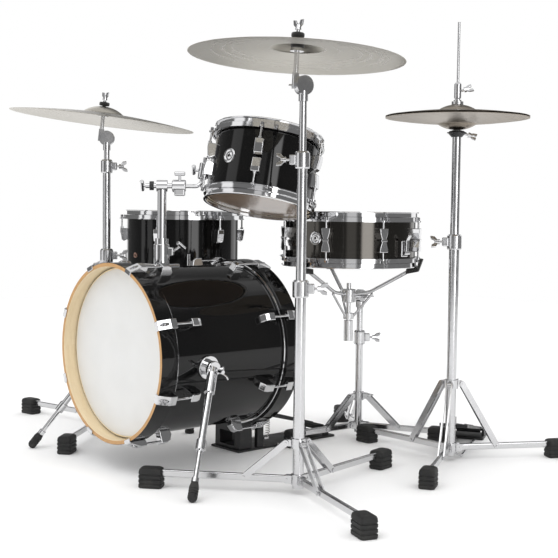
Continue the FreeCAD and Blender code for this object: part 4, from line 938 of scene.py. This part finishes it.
def return_spring():
    """Coil spring on the pedal's side, with the rocker it pulls on and its lower anchor."""
    x, y, top, bottom = PEDAL_X + 58, 256.0, 176.0, 38.0
    mesh = bmesh.new()
    turns, sides, coil = 22, 12, 5.2
    path = [kit(x, y, top + 9), kit(x, y + 1.5, top + 5), kit(x, y, top + 1)]
    for k in range(turns * sides + 1):
        turn = 2 * math.pi * k / sides
        height = top - 2 - (top - bottom - 4) * k / (turns * sides)
        path.append(kit(x + coil * math.sin(turn), y + coil * math.cos(turn), height))
    path += [kit(x, y, bottom - 1), kit(x, y + 1.5, bottom - 5), kit(x, y, bottom - 9)]
    sweep(mesh, path, 0.9 * MM, 8)
    spring = from_bmesh("pedal_spring", mesh, STEEL, None, "chrome", sharp=60)
    kit(x, y, bottom)
    kit(x, y, top)
    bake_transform(spring)
    arm = bmesh.new()
    rounded_block(arm, (-2 * MM, 0, -4.5 * MM), (2 * MM, 27 * MM, 4.5 * MM), 1.6 * MM,
                  Matrix.Translation(kit(x, 235, 185)))
    lathe(arm, [(0, -4 * MM), (8 * MM, -4 * MM), (9 * MM, -3 * MM), (9 * MM, 3 * MM), (8 * MM, 4 * MM),
                (0, 4 * MM)], 32, facing(kit(x, 235, 185), (1, 0, 0)))
    from_bmesh("pedal_rocker", arm, CHROME, "pedal_beater", "chrome", sharp=30)
    anchor = bmesh.new()
    rounded_block(anchor, (-4 * MM, -13 * MM, -3 * MM), (4 * MM, 4 * MM, 3 * MM), 1.4 * MM,
                  Matrix.Translation(kit(x, y, bottom - 9)))
    from_bmesh("pedal_spring_anchor", anchor, CHROME, "kit_base", "chrome", sharp=30)


def pedal_treads():
    """Raised grip bars on the bass pedal's footboard and heel plate."""
    toe, heel = kit(PEDAL_X, 274, 92), kit(PEDAL_X, 480, 34)
    along = (heel - toe).normalized()
    normal = Vector((1, 0, 0)).cross(along)
    normal = normal if normal.z > 0 else -normal
    turn = Matrix((Vector((1, 0, 0)), along, normal)).transposed().to_4x4()
    mesh = bmesh.new()
    for row in range(9):
        spot = toe + along * (24 + 19 * row) * MM
        place = Matrix.Translation(spot) @ turn
        inner = 10 if row % 2 else 4
        for side in (-1, 1):
            near, far = sorted((side * inner, side * 33))
            rounded_block(mesh, (near * MM, -2.6 * MM, -0.8 * MM), (far * MM, 2.6 * MM, 1.5 * MM), 1.0 * MM,
                          place, 2)
    from_bmesh("pedal_treads", mesh, RUBBER, "pedal_footboard", "rubber", sharp=30)
    plate = bmesh.new()
    for side in (-1, 1):
        for row in range(2):
            place = Matrix.Translation(kit(PEDAL_X + side * 50, 300 + 110 * row, 6))
            lathe(plate, [(0, -1 * MM), (4.4 * MM, -1 * MM), (4.2 * MM, 0.9 * MM), (3.2 * MM, 1.7 * MM),
                          (0, 1.9 * MM)], 24, place)
    from_bmesh("pedal_plate_screws", plate, STEEL, "kit_base", "chrome", sharp=30)


def bass_pedal():
    """Bass drum pedal: frame, board, chain, beater and spring."""
    paint("pedal_base", BLACK_METAL)
    chain = regroup("pedal_footboard", lambda p: None if size_of(p)[0] < 20 * MM else "black")[0]
    drive_chain(float(chain[:, 2].min()) / MM + 4, float(chain[:, 2].max()) / MM - 4)
    beater_head()
    return_spring()
    pedal_treads()


# ---------------------------------------------------------------- studio

def studio_world():
    """Plain white studio with even light, and soft boxes that the glossy finishes reflect."""
    world = bpy.data.worlds.new("studio")
    bpy.context.scene.world = world
    world.use_nodes = True
    nodes, links = world.node_tree.nodes, world.node_tree.links
    nodes.clear()

    def node(kind, inputs=(), **settings):
        made = nodes.new("ShaderNode" + kind)
        for key, value in settings.items():
            setattr(made, key, value)
        for key, value in dict(inputs).items():
            if isinstance(value, bpy.types.NodeSocket):
                links.new(value, made.inputs[key])
            else:
                made.inputs[key].default_value = value
        return made

    def maths(operation, *values):
        return node("Math", enumerate(values), operation=operation).outputs[0]

    def ramp(value, start, end, low, high):
        inputs = {"Value": value, "From Min": start, "From Max": end, "To Min": low, "To Max": high}
        return node("MapRange", inputs, interpolation_type="SMOOTHSTEP").outputs[0]

    parts = node("SeparateXYZ", {"Vector": node("TexCoord").outputs["Generated"]}).outputs
    azimuth = maths("ARCTAN2", parts[1], parts[0])
    below_ceiling = ramp(parts[2], 0.62, 0.80, 1.0, 0.0)
    light = ramp(parts[2], 0.66, 0.84, WALL, CEILING)
    for centre, half, level in SOFT_BOXES:
        offset = maths("COSINE", maths("SUBTRACT", azimuth, math.radians(centre)))
        start, end = (math.cos(math.radians(half + blur)) for blur in (2.5, -2.5))
        box = ramp(offset, start, end, 0.0, level)
        light = maths("ADD", light, maths("MULTIPLY", box, below_ceiling))
    rays = node("LightPath").outputs
    seen = maths("MAXIMUM", rays["Is Glossy Ray"], rays["Is Singular Ray"])
    strength = node("Mix", {0: seen, 2: FILL, 3: light}, data_type="FLOAT").outputs[0]
    strength = node("Mix", {0: rays["Is Camera Ray"], 2: strength, 3: 1.0}, data_type="FLOAT").outputs[0]
    studio = node("Background", {"Color": (1, 1, 1, 1), "Strength": strength})
    links.new(studio.outputs[0], node("OutputWorld").inputs[0])


def area_light(name, spot, aim, size, power):
    """Square soft light aimed at a point."""
    data = bpy.data.lights.new(name, "AREA")
    data.shape, data.size, data.energy = "SQUARE", size, power
    light = bpy.data.objects.new(name, data)
    bpy.context.scene.collection.objects.link(light)
    light.location = spot
    light.rotation_mode = "QUATERNION"
    light.rotation_quaternion = (Vector(aim) - Vector(spot)).to_track_quat("-Z", "Y")


def studio():
    """Floor, lights and camera."""
    mesh = bmesh.new()
    bmesh.ops.create_grid(mesh, x_segments=1, y_segments=1, size=4.5)
    data = bpy.data.meshes.new("studio_floor")
    mesh.to_mesh(data)
    mesh.free()
    data.materials.append(floor_paint())
    floor = bpy.data.objects.new("studio_floor", data)
    bpy.context.scene.collection.objects.link(floor)
    floor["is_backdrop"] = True
    studio_world()
    area_light("key", BASS + Vector((0.9, -2.4, 3.4)), BASS, 2.4, 35)
    bpy.context.scene.view_settings.view_transform = "Standard"

    data = bpy.data.cameras.new("camera")
    data.lens, data.sensor_width = CAMERA_LENS, CAMERA_SENSOR
    data.clip_start, data.clip_end = 0.05, 60.0
    camera = bpy.data.objects.new("camera", data)
    bpy.context.scene.collection.objects.link(camera)
    yaw, pitch, roll = (math.radians(v) for v in (CAMERA_YAW, CAMERA_PITCH, CAMERA_ROLL))
    ahead = Vector((-math.sin(yaw) * math.cos(pitch), math.cos(yaw) * math.cos(pitch), -math.sin(pitch)))
    right = ahead.cross(UP).normalized()
    above = right.cross(ahead)
    right, above = (right * math.cos(roll) + above * math.sin(roll),
                    above * math.cos(roll) - right * math.sin(roll))
    turn = Matrix((right, above, -ahead)).transposed()
    place = Vector((BASS.x + CAMERA_FROM_BASS.x, BASS.y + CAMERA_FROM_BASS.y, CAMERA_HEIGHT))
    camera.matrix_world = Matrix.Translation(place) @ turn.to_4x4()
    bpy.context.scene.camera = camera


drums()
badge("tom_badge", TOM, TOM_AXIS, TOM_RADIUS, 278.0, "rack_tom")
badge("snare_badge", SNARE + UP * 4 * MM, UP, SNARE_RADIUS, 285.0, BODY_OF["snare_shell"])
snare_wires()
spurs()
floor_tom_feet()
cymbal_stands()
hihat()
snare_stand()
bass_pedal()
studio()

boxes = [[list(corner) for corner in box] for box in (cad_box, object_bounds())]
